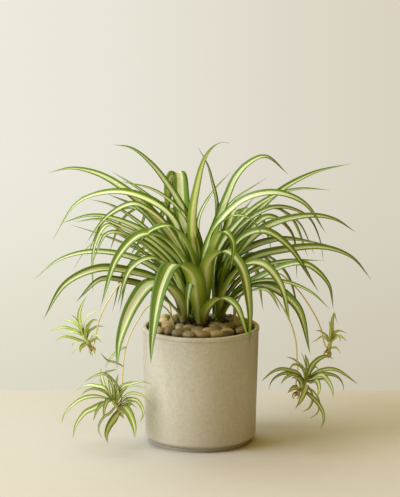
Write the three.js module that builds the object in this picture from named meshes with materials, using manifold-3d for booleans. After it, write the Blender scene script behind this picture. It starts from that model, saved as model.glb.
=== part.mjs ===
// A potted spider plant: a stoneware planter filled with soil, a ring of river pebbles,
// six shoots of arching leaves and four runners that each carry a plantlet.
// Millimetres, +Z up, +X to the right, +Y to the back; the origin is the middle of the pot's underside.
import * as THREE from "three";
import { mergeVertices } from "three/addons/utils/BufferGeometryUtils.js";
import Module from "manifold-3d";

const wasm = await Module();
wasm.setup();

// ---- driving dimensions ----
const POT_HEIGHT = 150;
const POT_TOP_RADIUS = 75;
const POT_BODY_TOP_RADIUS = 74.2;
const POT_BODY_LOW_RADIUS = 70.5;
const POT_WALL = 6;
const POT_FLOOR = 9;
const LIP_HEIGHT = 5.5;
const FOOT_RADIUS = 63;
const FOOT_HEIGHT = 5;
const GAP = 0.35;
const SOIL_Z = 147;
const NECK_RADIUS = 7;
const NECK_FOOT_Z = 132;
const NECK_TOP_Z = 155;
const NECK_TOP_RADIUS = 4.4;
const LEAF_ROOT_Z = 151.5;
const LEAF_ROOT_OFFSET = 3;
const STEM_RADIUS = 1.1;
const STEM_FOOT_Z = 136;
const PEBBLE_TOP_Z = 155;
const FINENESS = 0.08;

// ---- small helpers ----
function seeded(seed) {
  let state = seed;
  return () => {
    state = (state * 1664525 + 1013904223) % 4294967296;
    return state / 4294967296;
  };
}

function radians(degrees) {
  return (degrees * Math.PI) / 180;
}

function solidFrom(positions, triangles) {
  const mesh = new wasm.Mesh({
    numProp: 3,
    vertProperties: Float32Array.from(positions),
    triVerts: Uint32Array.from(triangles),
  });
  return new wasm.Manifold(mesh);
}

function solidOf(geometry) {
  const bare = geometry.clone();
  bare.deleteAttribute("normal");
  bare.deleteAttribute("uv");
  const merged = mergeVertices(bare, 1e-4);
  return solidFrom(merged.attributes.position.array, merged.index.array);
}

function geometryOf(solid) {
  const mesh = solid.getMesh();
  const geometry = new THREE.BufferGeometry();
  const count = mesh.vertProperties.length / mesh.numProp;
  const positions = new Float32Array(count * 3);
  for (let i = 0; i < count; i += 1) {
    positions[3 * i] = mesh.vertProperties[mesh.numProp * i];
    positions[3 * i + 1] = mesh.vertProperties[mesh.numProp * i + 1];
    positions[3 * i + 2] = mesh.vertProperties[mesh.numProp * i + 2];
  }
  geometry.setAttribute("position", new THREE.BufferAttribute(positions, 3));
  geometry.setIndex(new THREE.BufferAttribute(Uint32Array.from(mesh.triVerts), 1));
  geometry.computeVertexNormals();
  return geometry;
}

function fuse(solids) {
  return wasm.Manifold.union(solids);
}

function largestBody(solid) {
  const bodies = solid.decompose();
  bodies.sort((a, b) => b.volume() - a.volume());
  return bodies[0];
}

function lathe(profile, sides) {
  const points = profile.map(([r, z]) => new THREE.Vector2(r, z));
  const geometry = new THREE.LatheGeometry(points, sides);
  geometry.rotateX(Math.PI / 2);
  return solidOf(geometry);
}

// ---- pot ----
const POT_SIDES = 40;
const SOIL_SIDES = 32;
const bodyProfile = [
  [0, 0],
  [FOOT_RADIUS - 1, 0],
  [FOOT_RADIUS, 1],
  [FOOT_RADIUS, FOOT_HEIGHT],
  [FOOT_RADIUS + 4.5, FOOT_HEIGHT + 1],
  [POT_BODY_LOW_RADIUS - 1, FOOT_HEIGHT + 4],
  [POT_BODY_LOW_RADIUS, FOOT_HEIGHT + 8],
  [POT_BODY_TOP_RADIUS, POT_HEIGHT - LIP_HEIGHT - 0.8],
  [POT_TOP_RADIUS, POT_HEIGHT - LIP_HEIGHT],
  [POT_TOP_RADIUS, POT_HEIGHT - 1.6],
  [POT_TOP_RADIUS - 1.6, POT_HEIGHT],
  [POT_TOP_RADIUS - POT_WALL + 1.6, POT_HEIGHT],
  [POT_TOP_RADIUS - POT_WALL, POT_HEIGHT - 1.6],
  [POT_BODY_LOW_RADIUS - POT_WALL, POT_FLOOR + 8],
  [POT_BODY_LOW_RADIUS - POT_WALL - 5, POT_FLOOR],
  [0, POT_FLOOR],
];
const pot = lathe(bodyProfile, POT_SIDES);

// ---- shoots: where each one stands ----
const SHOOTS = {
  front: { x: 2, y: 2 },
  middle: { x: 2, y: 22 },
  left: { x: -20, y: 18 },
  right: { x: 24, y: 18 },
  back_left: { x: -14, y: 40 },
  back_right: { x: 18, y: 40 },
};

// Each leaf: depth of its tip, width, tilt of its face towards the front in degrees,
// then the points (x, z) its middle runs through, from above the crown out to the tip.
const LEAVES = {
  middle: [
    [8, 17, 45, [-3, 254], [-17, 288], [-39, 326], [-64, 359], [-88, 378], [-110, 382]],
    [0, 12, 40, [-2, 246], [-13, 280], [-39, 311], [-64, 327], [-100, 336]],
    [-5, 18, -15, [-4, 219], [-10, 272], [-9, 301], [-3, 335], [1, 353], [7, 369],
      [16, 381], [27, 387], [36, 386]],
    [30, 13, -25, [11, 223], [20, 279], [20, 307], [15, 330], [9, 352], [-3, 375]],
    [15, 18, 45, [7, 234], [22, 281], [35, 316], [45, 339], [61, 357], [82, 366], [111, 343]],
    [-45, 16, 45, [3, 232], [17, 275], [38, 303], [63, 321], [97, 327], [131, 314], [157, 278]],
  ],
  back_left: [
    [95, 16, 45, [-24, 232], [-52, 272], [-91, 308], [-130, 331], [-166, 338], [-197, 331]],
    [75, 13, 35, [-26, 222], [-50, 258], [-78, 288], [-120, 307]],
    [105, 10, 35, [-17, 229], [-39, 276], [-72, 305], [-115, 331]],
    [140, 28, 0, [-16, 219], [-25, 289], [-29, 331], [-38, 321], [-44, 253]],
    [62, 9, 20, [-4, 251], [-1, 282], [17, 314], [39, 338]],
  ],
  left: [
    [42, 13, 40, [-17, 217], [-36, 284], [-71, 309], [-111, 317], [-156, 303], [-189, 254]],
    [62, 11, 35, [-19, 226], [-48, 295], [-90, 315], [-122, 315], [-156, 304]],
    [52, 9, 35, [-22, 197], [-52, 250], [-90, 284], [-116, 298], [-142, 304]],
    [-30, 14, 35, [-16, 224], [-41, 278], [-64, 301], [-85, 311], [-116, 297], [-144, 263]],
    [22, 13, 40, [-21, 218], [-52, 254], [-96, 280], [-138, 289], [-176, 279]],
    [2, 11, 40, [-24, 209], [-58, 253], [-96, 275], [-127, 287], [-159, 284]],
    [34, 7, 25, [-26, 198], [-64, 234], [-116, 258], [-165, 274]],
    [-50, 10, 25, [-29, 205], [-64, 250], [-95, 274], [-117, 286], [-133, 259], [-135, 203]],
    [-22, 12, 40, [-27, 206], [-51, 241], [-89, 268], [-117, 273], [-136, 237]],
    [28, 7, 25, [-26, 192], [-64, 233], [-113, 266], [-141, 249], [-162, 219]],
    [8, 12, 40, [-21, 174], [-41, 207], [-77, 232], [-134, 244], [-179, 234], [-211, 209]],
    [-110, 18, 35, [-26, 176], [-51, 212], [-88, 229], [-128, 237], [-168, 222], [-194, 183]],
    [-95, 15, 40, [-31, 171], [-64, 205], [-95, 219], [-125, 225], [-154, 202]],
    [-95, 15, 15, [-21, 190], [-38, 235], [-63, 249], [-87, 238], [-103, 198]],
    [-125, 26, 10, [-25, 181], [-42, 211], [-62, 216], [-84, 193], [-100, 155], [-103, 125]],
  ],
  front: [
    [-115, 20, 25, [-3, 201], [-21, 246], [-48, 278], [-74, 283], [-102, 258], [-123, 200]],
    [-140, 28, 0, [-3, 185], [-12, 232], [-33, 246], [-48, 222], [-59, 165], [-61, 134]],
    [-80, 19, 15, [-1, 207], [-13, 257], [-36, 290], [-62, 286], [-89, 255]],
    [-60, 14, 0, [4, 185], [-1, 214], [-11, 215], [-16, 196], [-16, 173]],
    [-100, 19, 0, [7, 217], [16, 264], [28, 288], [40, 276], [37, 242]],
    [-135, 20, 0, [4, 210], [12, 249], [30, 262], [50, 245], [60, 201], [60, 153]],
    [-110, 17, 0, [8, 178], [26, 199], [43, 193], [59, 159]],
    [-55, 10, 20, [7, 219], [19, 283], [44, 301], [64, 296], [80, 273]],
  ],
  right: [
    [26, 16, 40, [27, 201], [50, 244], [88, 276], [139, 288], [171, 283], [198, 266]],
    [38, 13, 35, [27, 204], [55, 257], [86, 286], [116, 264], [124, 203]],
    [-35, 16, 35, [26, 204], [47, 261], [78, 276], [110, 258], [149, 201]],
    [10, 15, 40, [30, 190], [59, 231], [114, 247], [158, 249], [193, 236], [217, 208]],
    [44, 9, 30, [31, 191], [70, 227], [124, 244]],
    [-2, 11, 35, [33, 184], [63, 218], [107, 233], [154, 235]],
    [-45, 14, 35, [35, 182], [70, 212], [129, 236], [160, 213], [167, 182]],
    [-75, 10, 25, [35, 179], [66, 211], [106, 216], [139, 206], [161, 188]],
    [-100, 18, 20, [30, 199], [53, 237], [77, 242], [99, 220], [111, 177]],
    [-85, 18, 30, [32, 175], [59, 205], [86, 209], [121, 186], [137, 132]],
    [-80, 9, 25, [37, 180], [62, 203], [84, 208], [100, 186]],
  ],
  back_right: [
    [82, 13, 40, [20, 222], [55, 268], [102, 312], [147, 335], [193, 345]],
    [52, 11, 35, [19, 229], [51, 278], [91, 308], [127, 318], [165, 316]],
    [68, 11, 30, [19, 213], [51, 268], [96, 293], [137, 280], [153, 251], [159, 219]],
    [62, 8, 25, [15, 232], [35, 293], [84, 330]],
    [58, 15, 35, [22, 204], [55, 237], [102, 252], [162, 244]],
    [60, 11, 30, [21, 231], [48, 279], [69, 305]],
  ],
};

// Leaves placed by a rule: shoot, first and last compass angle, how many, reach, crest height, fall.
const FANS = [
  ["back_left", 91, 148, 5, 160, 286, 70],
  ["back_left", 98, 155, 4, 120, 235, 90],
  ["back_right", 32, 84, 5, 160, 284, 72],
  ["back_right", 27, 76, 4, 120, 232, 90],
];

// ---- blades ----
const CHANNEL_DEPTH = 0.26;
const KEEL_DROP = 0.55;
const RIB_THICKNESS = 1.7;
const SEGMENT_LENGTH = 35;
const BROAD_LEAF = 12;

function widthShare(s) {
  const root = 0.5 + 0.5 * Math.sin(Math.min(s / 0.36, 1) * (Math.PI / 2));
  return root * Math.max(1 - s ** 2.7, 0.03);
}

// A blade is a thin solid: two sharp edges, a rib below and, in a broad leaf, a channel above.
// Its keel lies below the line of the points by a share of the channel's depth, its edges above it.
// Both faces are split along the same diagonals, so that a twisted blade keeps its thickness.
function blade(points, width, tilt, segments) {
  const path = new THREE.CatmullRomCurve3(points, false, "centripetal");
  path.arcLengthDivisions = 120;
  const first = points[0];
  const last = points[points.length - 1];
  const out = new THREE.Vector3(last.x - first.x, last.y - first.y, 0).normalize();
  const across = new THREE.Vector3(-out.y, out.x, 0);
  const sign = out.x < 0 ? -1 : 1;
  const corners = width >= BROAD_LEAF ? 4 : 3;
  const positions = [];
  for (let i = 0; i < segments; i += 1) {
    const s = i / segments;
    const centre = path.getPointAt(s);
    const along = path.getTangentAt(s);
    const side = across.clone().addScaledVector(along, -across.dot(along)).normalize();
    const face = new THREE.Vector3().crossVectors(along, side);
    const roll = radians(tilt) * sign * Math.min(s / 0.3, 1);
    const left = side.clone().multiplyScalar(Math.cos(roll)).addScaledVector(face, Math.sin(roll));
    const up = face.clone().multiplyScalar(Math.cos(roll)).addScaledVector(side, -Math.sin(roll));
    const half = 0.5 * width * widthShare(s);
    const lift = 2 * half * CHANNEL_DEPTH;
    const thick = 0.5 * RIB_THICKNESS * Math.sqrt(Math.max(1 - s, 0.1));
    centre.addScaledVector(up, -KEEL_DROP * lift);
    const ring = [
      centre.clone().addScaledVector(left, half).addScaledVector(up, lift),
      centre.clone().addScaledVector(up, -thick),
      centre.clone().addScaledVector(left, -half).addScaledVector(up, lift),
      centre.clone().addScaledVector(up, thick),
    ];
    ring.slice(0, corners).forEach((corner) => positions.push(corner.x, corner.y, corner.z));
  }
  const tip = path.getPointAt(1);
  positions.push(tip.x, tip.y, tip.z);
  const triangles = [];
  for (let i = 0; i < segments - 1; i += 1) {
    for (let k = 0; k < corners; k += 1) {
      const a = corners * i + k;
      const b = corners * i + ((k + 1) % corners);
      if (k < 2) {
        triangles.push(a, b + corners, b);
        triangles.push(a, a + corners, b + corners);
      } else {
        triangles.push(a, a + corners, b);
        triangles.push(a + corners, b + corners, b);
      }
    }
  }
  const end = corners * (segments - 1);
  for (let k = 0; k < corners; k += 1) {
    triangles.push(end + k, end + corners, end + ((k + 1) % corners));
  }
  triangles.push(0, 1, 2);
  if (corners === 4) {
    triangles.push(0, 2, 3);
  }
  return solidFrom(positions, triangles);
}

function leafPoints(shoot, row) {
  const [depth, , , ...knots] = row;
  const tip = knots[knots.length - 1];
  const outX = tip[0] - shoot.x;
  const outY = depth - shoot.y;
  const reach = Math.hypot(outX, outY);
  const rootX = shoot.x + (LEAF_ROOT_OFFSET * outX) / reach;
  const rootY = shoot.y + (LEAF_ROOT_OFFSET * outY) / reach;
  const stations = [0];
  let previous = [rootX, LEAF_ROOT_Z];
  for (const knot of knots) {
    const step = Math.hypot(knot[0] - previous[0], knot[1] - previous[1]);
    stations.push(stations[stations.length - 1] + step);
    previous = knot;
  }
  const total = stations[stations.length - 1];
  const points = [new THREE.Vector3(rootX, rootY, LEAF_ROOT_Z)];
  knots.forEach((knot, i) => {
    const share = stations[i + 1] / total;
    points.push(new THREE.Vector3(knot[0], rootY + (depth - rootY) * share, knot[1]));
  });
  return points;
}

function fanPoints(shoot, angle, reach, crest, fall) {
  const dirX = Math.cos(radians(angle));
  const dirY = Math.sin(radians(angle));
  const rise = crest - LEAF_ROOT_Z;
  const stations = [
    [LEAF_ROOT_OFFSET, LEAF_ROOT_Z],
    [0.17 * reach, LEAF_ROOT_Z + 0.58 * rise],
    [0.52 * reach, crest],
    [0.82 * reach, crest - 0.3 * fall],
    [reach, crest - fall],
  ];
  return stations.map(([r, z]) => new THREE.Vector3(shoot.x + dirX * r, shoot.y + dirY * r, z));
}

function segmentsFor(points) {
  const length = new THREE.CatmullRomCurve3(points, false, "centripetal").getLength();
  return Math.max(7, Math.round(length / SEGMENT_LENGTH));
}

function neck(shoot) {
  const profile = [
    [0, NECK_FOOT_Z],
    [NECK_RADIUS - 1.5, NECK_FOOT_Z],
    [NECK_RADIUS, NECK_FOOT_Z + 6],
    [NECK_RADIUS, SOIL_Z + 1.5],
    [NECK_TOP_RADIUS, NECK_TOP_Z],
    [0, NECK_TOP_Z + 1],
  ];
  return lathe(profile, 12).translate([shoot.x, shoot.y, 0]);
}

const shootParts = {};
for (const name of Object.keys(SHOOTS)) {
  shootParts[name] = [neck(SHOOTS[name])];
}
for (const [name, rows] of Object.entries(LEAVES)) {
  for (const row of rows) {
    const points = leafPoints(SHOOTS[name], row);
    shootParts[name].push(blade(points, row[1], row[2], segmentsFor(points)));
  }
}
const fanRandom = seeded(11);
for (const [name, from, to, count, reach, crest, fall] of FANS) {
  for (let i = 0; i < count; i += 1) {
    const angle = from + ((to - from) * i) / (count - 1) + 5 * (fanRandom() - 0.5);
    const size = 0.9 + 0.2 * fanRandom();
    const height = LEAF_ROOT_Z + (crest - LEAF_ROOT_Z) * (0.92 + 0.12 * fanRandom());
    const points = fanPoints(SHOOTS[name], angle, reach * size, height, fall * size);
    shootParts[name].push(blade(points, 11 + 5 * fanRandom(), 0, segmentsFor(points)));
  }
}

// ---- runners: a thin stem from the soil, out over the rim and down to a plantlet ----
// stem points (x, y, z); where the stem stands; base and heart of the plantlet's stalk (x, y, z);
// length of its longest leaves; leaves: width, side it leans to in depth (1 back, -1 front), how far
// up the stalk it starts (0 base, 1 heart), then points (x, z); bracts, small leaves on the stem:
// width, where on the stem (x, y, z), then points (x, z).
const RUNNERS = {
  lower_left: {
    stem: [[-37, -18, 166], [-45, -29, 180], [-56, -34, 187], [-67, -35, 182], [-78, -34, 166],
      [-88, -29, 147], [-94, -31, 130], [-98, -34, 105], [-99, -36, 83]],
    foot: [-34, -12],
    base: [-101, -38, 48],
    heart: [-112, -38, 62],
    length: 62,
    leaves: [
      [5, 1, 0.9, [-121, 75], [-126, 90], [-127, 97]],
      [4, -1, 0.9, [-115, 77], [-116, 90], [-116, 99]],
      [5, -1, 0.6, [-103, 76], [-112, 91], [-122, 99], [-134, 97], [-147, 90]],
      [4, 1, 0.8, [-111, 76], [-117, 88], [-121, 93], [-114, 94], [-105, 95]],
      [5, 1, 1, [-122, 76], [-133, 78], [-142, 78], [-151, 74], [-159, 68]],
      [4, -1, 1, [-123, 75], [-133, 80], [-142, 80], [-151, 75]],
      [5, -1, 1, [-122, 65], [-137, 67], [-150, 64], [-163, 55], [-173, 43], [-176, 31]],
      [7, 1, 1, [-125, 57], [-135, 51], [-145, 46], [-153, 37], [-159, 26], [-162, 11]],
      [4, -1, 1, [-126, 58], [-131, 53], [-135, 42]],
      [5, -1, 1, [-118, 64], [-121, 58], [-122, 45]],
      [3, -1, 0.5, [-115, 46], [-122, 43], [-128, 34], [-128, 26], [-123, 18]],
      [8, -1, 0.1, [-110, 39], [-116, 31], [-119, 22], [-117, 13]],
      [9, -1, 0.2, [-99, 56], [-92, 51], [-86, 40], [-83, 29], [-83, 20]],
      [4, -1, 0.5, [-98, 66], [-89, 73], [-79, 74], [-69, 70], [-62, 61]],
      [4, -1, 0.7, [-103, 72], [-98, 81], [-85, 86], [-72, 89], [-61, 86]],
      [3, 1, 0.7, [-105, 72], [-100, 77], [-94, 78], [-84, 79]],
      [5, -1, 0.3, [-97, 63], [-88, 66], [-80, 65], [-74, 58], [-72, 51], [-76, 40]],
      [3, 1, 0.3, [-93, 56], [-87, 54], [-81, 50]],
      [4, 1, 0.2, [-95, 50], [-89, 51], [-81, 42]],
      [3, -1, 0.6, [-97, 75], [-90, 83], [-80, 85], [-69, 83]],
      [4, 1, 0.8, [-109, 72], [-107, 81], [-105, 88]],
      [5, -1, 0.6, [-107, 61], [-103, 72], [-97, 83], [-92, 87]],
      [3, 1, 1, [-120, 72], [-125, 79], [-131, 80]],
    ],
    bracts: [
      [3, [-98, -34, 105], [-107, 110], [-117, 113], [-122, 118], [-126, 124]],
      [3, [-94, -31, 130], [-106, 123], [-116, 113], [-121, 102]],
    ],
  },
  upper_left: {
    stem: [[-42, 27, 178], [-66, 22, 208], [-88, 17, 212], [-105, 12, 199], [-117, 11, 181], [-125, 10, 166],
      [-130, 10, 152], [-133, 10, 138], [-136, 10, 124]],
    foot: [-37, 26],
    base: [-140, 10, 118],
    heart: [-150, 10, 135],
    length: 46,
    leaves: [
      [5, 1, 1, [-154, 149], [-155, 162], [-151, 175], [-145, 186]],
      [4, -1, 1, [-154, 149], [-158, 159], [-164, 166]],
      [4, 1, 0.8, [-154, 144], [-162, 150], [-170, 152], [-180, 152]],
      [4, -1, 0.8, [-155, 139], [-164, 143], [-174, 146], [-184, 144], [-195, 141]],
      [3, 1, 0.9, [-159, 137], [-169, 136], [-176, 131]],
      [4, -1, 0.5, [-154, 129], [-164, 133], [-173, 135], [-180, 133], [-185, 129]],
      [3, 1, 0.4, [-149, 120], [-157, 117], [-163, 111], [-166, 104]],
      [5, -1, 0.4, [-150, 124], [-153, 122], [-153, 118]],
      [3, 1, 0.6, [-156, 126], [-162, 123], [-166, 114]],
      [4, -1, 0.7, [-146, 142], [-145, 156]],
      [4, 1, 0.7, [-146, 140], [-142, 148], [-137, 151], [-130, 149]],
      [3, -1, 0.8, [-149, 150], [-143, 162], [-136, 166], [-125, 170]],
      [3, 1, 0.6, [-143, 138], [-138, 141], [-132, 143], [-123, 141]],
      [3, -1, 0.4, [-139, 134], [-134, 138], [-128, 137], [-123, 135]],
      [3, 1, 0.3, [-138, 127], [-133, 128], [-130, 124], [-127, 119]],
    ],
    bracts: [],
  },
  lower_right: {
    stem: [[47, 6, 178], [62, 8, 200], [76, 8, 204], [89, 6, 195], [103, 2, 176], [113, -2, 158],
      [118, -4, 145], [122, -6, 127], [123, -8, 110], [124, -9, 98], [122, -10, 75]],
    foot: [44, 6],
    base: [124, -10, 64],
    heart: [136, -10, 82],
    length: 62,
    leaves: [
      [6, 1, 1, [137, 91], [137, 99], [134, 107]],
      [4, -1, 0.9, [134, 100], [131, 113], [127, 124]],
      [6, 1, 1, [141, 96], [150, 105], [159, 108], [165, 106], [171, 101]],
      [5, -1, 1, [145, 90], [154, 94], [165, 96], [175, 94], [185, 88], [201, 76]],
      [5, 1, 1, [145, 85], [154, 87], [166, 86], [176, 81], [182, 72], [184, 61]],
      [6, -1, 1, [146, 87], [154, 91], [162, 84], [167, 75], [168, 65]],
      [3, 1, 0.9, [142, 78], [150, 78], [159, 76], [166, 67]],
      [3, 1, 0.9, [132, 93], [126, 99], [119, 103], [110, 104]],
      [5, -1, 0.8, [131, 95], [126, 103], [118, 107], [111, 102]],
      [5, -1, 0.7, [129, 86], [123, 92], [113, 96], [101, 98], [90, 94], [77, 83]],
      [5, 1, 0.6, [130, 81], [125, 85], [116, 87], [106, 86], [95, 79], [90, 71], [88, 62]],
      [5, -1, 0.7, [125, 88], [116, 92], [107, 89], [101, 83]],
      [6, 1, 0.4, [129, 75], [124, 78], [117, 75]],
      [7, -1, 0.3, [125, 74], [117, 76], [110, 73]],
      [7, -1, 0.6, [135, 77], [131, 68], [127, 61], [120, 52]],
      [4, 1, 0.5, [139, 68], [143, 57], [143, 48], [139, 38], [131, 32]],
      [5, -1, 0.3, [135, 65], [142, 60], [150, 52], [156, 41], [157, 32], [153, 20]],
      [5, 1, 0.6, [140, 69], [146, 63], [151, 53], [152, 43], [149, 32], [141, 25]],
      [6, -1, 0.9, [142, 80], [147, 84], [150, 80], [150, 72], [146, 66]],
      [4, 1, 1, [141, 91], [147, 93], [154, 84]],
    ],
    bracts: [],
  },
  upper_right: {
    stem: [[46, 28, 182], [74, 28, 211], [98, 27, 213], [114, 25, 202], [126, 23, 190], [138, 22, 173],
      [148, 21, 156], [155, 20, 139], [159, 20, 122]],
    foot: [43, 27],
    base: [164, 20, 112],
    heart: [167, 20, 126],
    length: 36,
    leaves: [
      [5, 1, 1, [168, 139], [169, 153], [171, 163]],
      [4, -1, 1, [166, 140], [165, 150], [163, 155]],
      [3, 1, 0.9, [169, 149], [172, 160], [174, 152], [177, 143]],
      [4, -1, 0.8, [163, 131], [157, 137], [151, 141], [146, 142]],
      [3, 1, 0.6, [162, 127], [156, 129], [150, 124], [143, 119]],
      [4, -1, 0.8, [172, 129], [177, 134], [181, 133], [187, 129]],
      [4, 1, 1, [170, 131], [174, 135]],
      [3, 1, 1, [174, 131], [179, 127], [180, 119]],
      [3, 1, 1, [173, 135], [179, 136], [189, 131]],
      [3, -1, 0.2, [170, 118], [174, 119], [179, 113]],
    ],
    bracts: [],
  },
};
const STEM_SIDES = 4;
const STEM_SEGMENTS = 15;
const STALK_RADIUS = 2.8;
const PLANTLET_TILT = 20;
const BRACT_LEAN = -6;
const LEAN_SHARE = 0.6;
const LEAST_HIDDEN = 6;
const BASE_RADII = [3.8, 4.6, 3.8];
const HEART_RADII = [3, 3.6, 3];

function tube(points, radius, segments, sides) {
  const path = new THREE.CatmullRomCurve3(points, false, "centripetal");
  const frames = path.computeFrenetFrames(segments, false);
  const positions = [];
  for (let i = 0; i <= segments; i += 1) {
    const centre = path.getPointAt(i / segments);
    for (let k = 0; k < sides; k += 1) {
      const angle = (2 * Math.PI * k) / sides;
      const corner = centre.clone();
      corner.addScaledVector(frames.normals[i], radius * Math.cos(angle));
      corner.addScaledVector(frames.binormals[i], radius * Math.sin(angle));
      positions.push(corner.x, corner.y, corner.z);
    }
  }
  const triangles = [];
  for (let i = 0; i < segments; i += 1) {
    for (let k = 0; k < sides; k += 1) {
      const a = sides * i + k;
      const b = sides * i + ((k + 1) % sides);
      triangles.push(a, b, b + sides);
      triangles.push(a, b + sides, a + sides);
    }
  }
  for (let k = 1; k < sides - 1; k += 1) {
    triangles.push(0, k + 1, k);
    const end = sides * segments;
    triangles.push(end, end + k, end + k + 1);
  }
  return solidFrom(positions, triangles);
}

function ellipsoid(centre, radii, turn, across, down) {
  const geometry = new THREE.SphereGeometry(1, across, down);
  geometry.scale(radii[0], radii[1], radii[2]);
  geometry.rotateX(Math.PI / 2);
  geometry.rotateZ(turn);
  geometry.translate(centre[0], centre[1], centre[2]);
  return solidOf(geometry);
}

function hangingLeaf(width, root, depth, knots) {
  const points = [new THREE.Vector3(...root)];
  knots.forEach((knot, i) => {
    const share = (i + 1) / knots.length;
    points.push(new THREE.Vector3(knot[0], root[1] + (depth - root[1]) * share, knot[1]));
  });
  return blade(points, width, PLANTLET_TILT, Math.max(knots.length, 3));
}

function plantletLeaf(spec, width, lean, start, knots) {
  const root = spec.base.map((value, axis) => value + (spec.heart[axis] - value) * start);
  const tip = knots[knots.length - 1];
  const shown = Math.hypot(tip[0] - root[0], tip[1] - root[2]);
  const hidden = Math.sqrt(Math.max(spec.length ** 2 - shown ** 2, LEAST_HIDDEN ** 2));
  return hangingLeaf(width, root, root[1] + lean * LEAN_SHARE * hidden, knots);
}

function runner(spec) {
  const base = new THREE.Vector3(...spec.base);
  const heart = new THREE.Vector3(...spec.heart);
  const stemPoints = [
    new THREE.Vector3(spec.foot[0], spec.foot[1], STEM_FOOT_Z),
    new THREE.Vector3(spec.foot[0], spec.foot[1], SOIL_Z + 3),
    ...spec.stem.map(([x, y, z]) => new THREE.Vector3(x, y, z)),
    base,
  ];
  const stalkPoints = [base, base.clone().lerp(heart, 0.5), heart];
  const parts = [
    tube(stemPoints, STEM_RADIUS, STEM_SEGMENTS, STEM_SIDES),
    tube(stalkPoints, STALK_RADIUS, 2, 6),
    ellipsoid(spec.base, BASE_RADII, 0, 7, 5),
    ellipsoid(spec.heart, HEART_RADII, 0, 6, 4),
  ];
  for (const [width, lean, start, ...knots] of spec.leaves) {
    parts.push(plantletLeaf(spec, width, lean, start, knots));
  }
  for (const [width, root, ...knots] of spec.bracts) {
    parts.push(hangingLeaf(width, root, root[1] + BRACT_LEAN, knots));
  }
  return largestBody(fuse(parts).simplify(FINENESS));
}

// ---- soil: fills the pot, with a plain hole for each shoot and each runner ----
const SOIL_LOW_RADIUS = POT_BODY_LOW_RADIUS - POT_WALL - GAP;
const SOIL_TOP_RADIUS = POT_TOP_RADIUS - POT_WALL - GAP;
const soilProfile = [
  [0, POT_FLOOR + GAP],
  [SOIL_LOW_RADIUS - 5, POT_FLOOR + GAP],
  [SOIL_LOW_RADIUS, POT_FLOOR + 8],
  [SOIL_TOP_RADIUS - 0.3, SOIL_Z - 2],
  [SOIL_TOP_RADIUS - 1.6, SOIL_Z],
  [0, SOIL_Z],
];

function hole(x, y, radius, footZ, sides) {
  const depth = SOIL_Z + 10 - footZ;
  const geometry = new THREE.CylinderGeometry(radius, radius, depth, sides);
  geometry.rotateX(Math.PI / 2);
  geometry.translate(x, y, footZ + depth / 2);
  return solidOf(geometry);
}

function stemHoles(spare) {
  const holes = [];
  for (const shoot of Object.values(SHOOTS)) {
    holes.push(hole(shoot.x, shoot.y, NECK_RADIUS + spare, NECK_FOOT_Z - GAP, 14));
  }
  for (const spec of Object.values(RUNNERS)) {
    holes.push(hole(spec.foot[0], spec.foot[1], STEM_RADIUS + spare, STEM_FOOT_Z - GAP, 8));
  }
  return fuse(holes);
}

const soil = lathe(soilProfile, SOIL_SIDES).subtract(stemHoles(0.6));

// ---- pebbles: a bed of river stones laid by a seeded rule, sunk into each other ----
const PEBBLE_COUNT = 43;
const PEBBLE_REACH = 67.6;
const PEBBLE_INNER_REACH = 17;
const BED_THICKNESS = 1.6;
const BED_INNER_RADIUS = 30;

function clearOfStems(x, y, reach) {
  for (const shoot of Object.values(SHOOTS)) {
    if (Math.hypot(x - shoot.x, y - shoot.y) < NECK_RADIUS + reach + 1.5) {
      return false;
    }
  }
  return true;
}

function pebbleBed() {
  const random = seeded(5);
  const stones = [];
  const placed = [];
  let tries = 0;
  while (placed.length < PEBBLE_COUNT && tries < 4000) {
    tries += 1;
    const long = 9.5 + 3 * random();
    const short = long * (0.68 + 0.2 * random());
    const angle = 2 * Math.PI * random();
    const radius = PEBBLE_INNER_REACH + (PEBBLE_REACH - short - PEBBLE_INNER_REACH) * Math.sqrt(random());
    const x = radius * Math.cos(angle);
    const y = radius * Math.sin(angle);
    const apart = placed.every((p) => Math.hypot(x - p.x, y - p.y) > 0.8 * (short + p.short));
    if (!apart || !clearOfStems(x, y, short)) {
      continue;
    }
    placed.push({ x, y, short });
    const turn = radius + long > PEBBLE_REACH ? angle + Math.PI / 2 : Math.PI * random();
    const height = 5.2 + 1.2 * random();
    const z = PEBBLE_TOP_Z - height - 2 * random();
    stones.push(ellipsoid([x, y, z], [long, height, short], turn, 6, 4));
  }
  const base = SOIL_Z + GAP;
  const web = lathe([
    [BED_INNER_RADIUS, base],
    [PEBBLE_REACH, base],
    [PEBBLE_REACH, base + BED_THICKNESS],
    [BED_INNER_RADIUS, base + BED_THICKNESS],
    [BED_INNER_RADIUS, base],
  ], 24);
  const under = lathe([
    [0, base - 30],
    [90, base - 30],
    [90, base],
    [0, base],
  ], 12);
  const bed = fuse([web, ...stones]).subtract(under).subtract(stemHoles(1));
  return largestBody(bed).simplify(FINENESS);
}

// ---- assembly ----
const group = new THREE.Group();
group.name = "potted_spider_plant";

function addPiece(name, solid, colour, roughness) {
  const material = new THREE.MeshStandardMaterial({ color: colour, roughness, metalness: 0 });
  material.name = `${name}_material`;
  const mesh = new THREE.Mesh(geometryOf(solid), material);
  mesh.name = name;
  group.add(mesh);
}

addPiece("pot", pot, 0xb9aa86, 0.6);
addPiece("soil", soil, 0x2c211a, 0.95);
addPiece("pebbles", pebbleBed(), 0x8d8069, 0.6);
for (const name of Object.keys(SHOOTS)) {
  addPiece(`shoot_${name}`, largestBody(fuse(shootParts[name]).simplify(FINENESS)), 0x7f9a4a, 0.5);
}
for (const name of Object.keys(RUNNERS)) {
  addPiece(`runner_${name}`, runner(RUNNERS[name]), 0x9aa85c, 0.5);
}

export default group;
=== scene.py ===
import math

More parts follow.
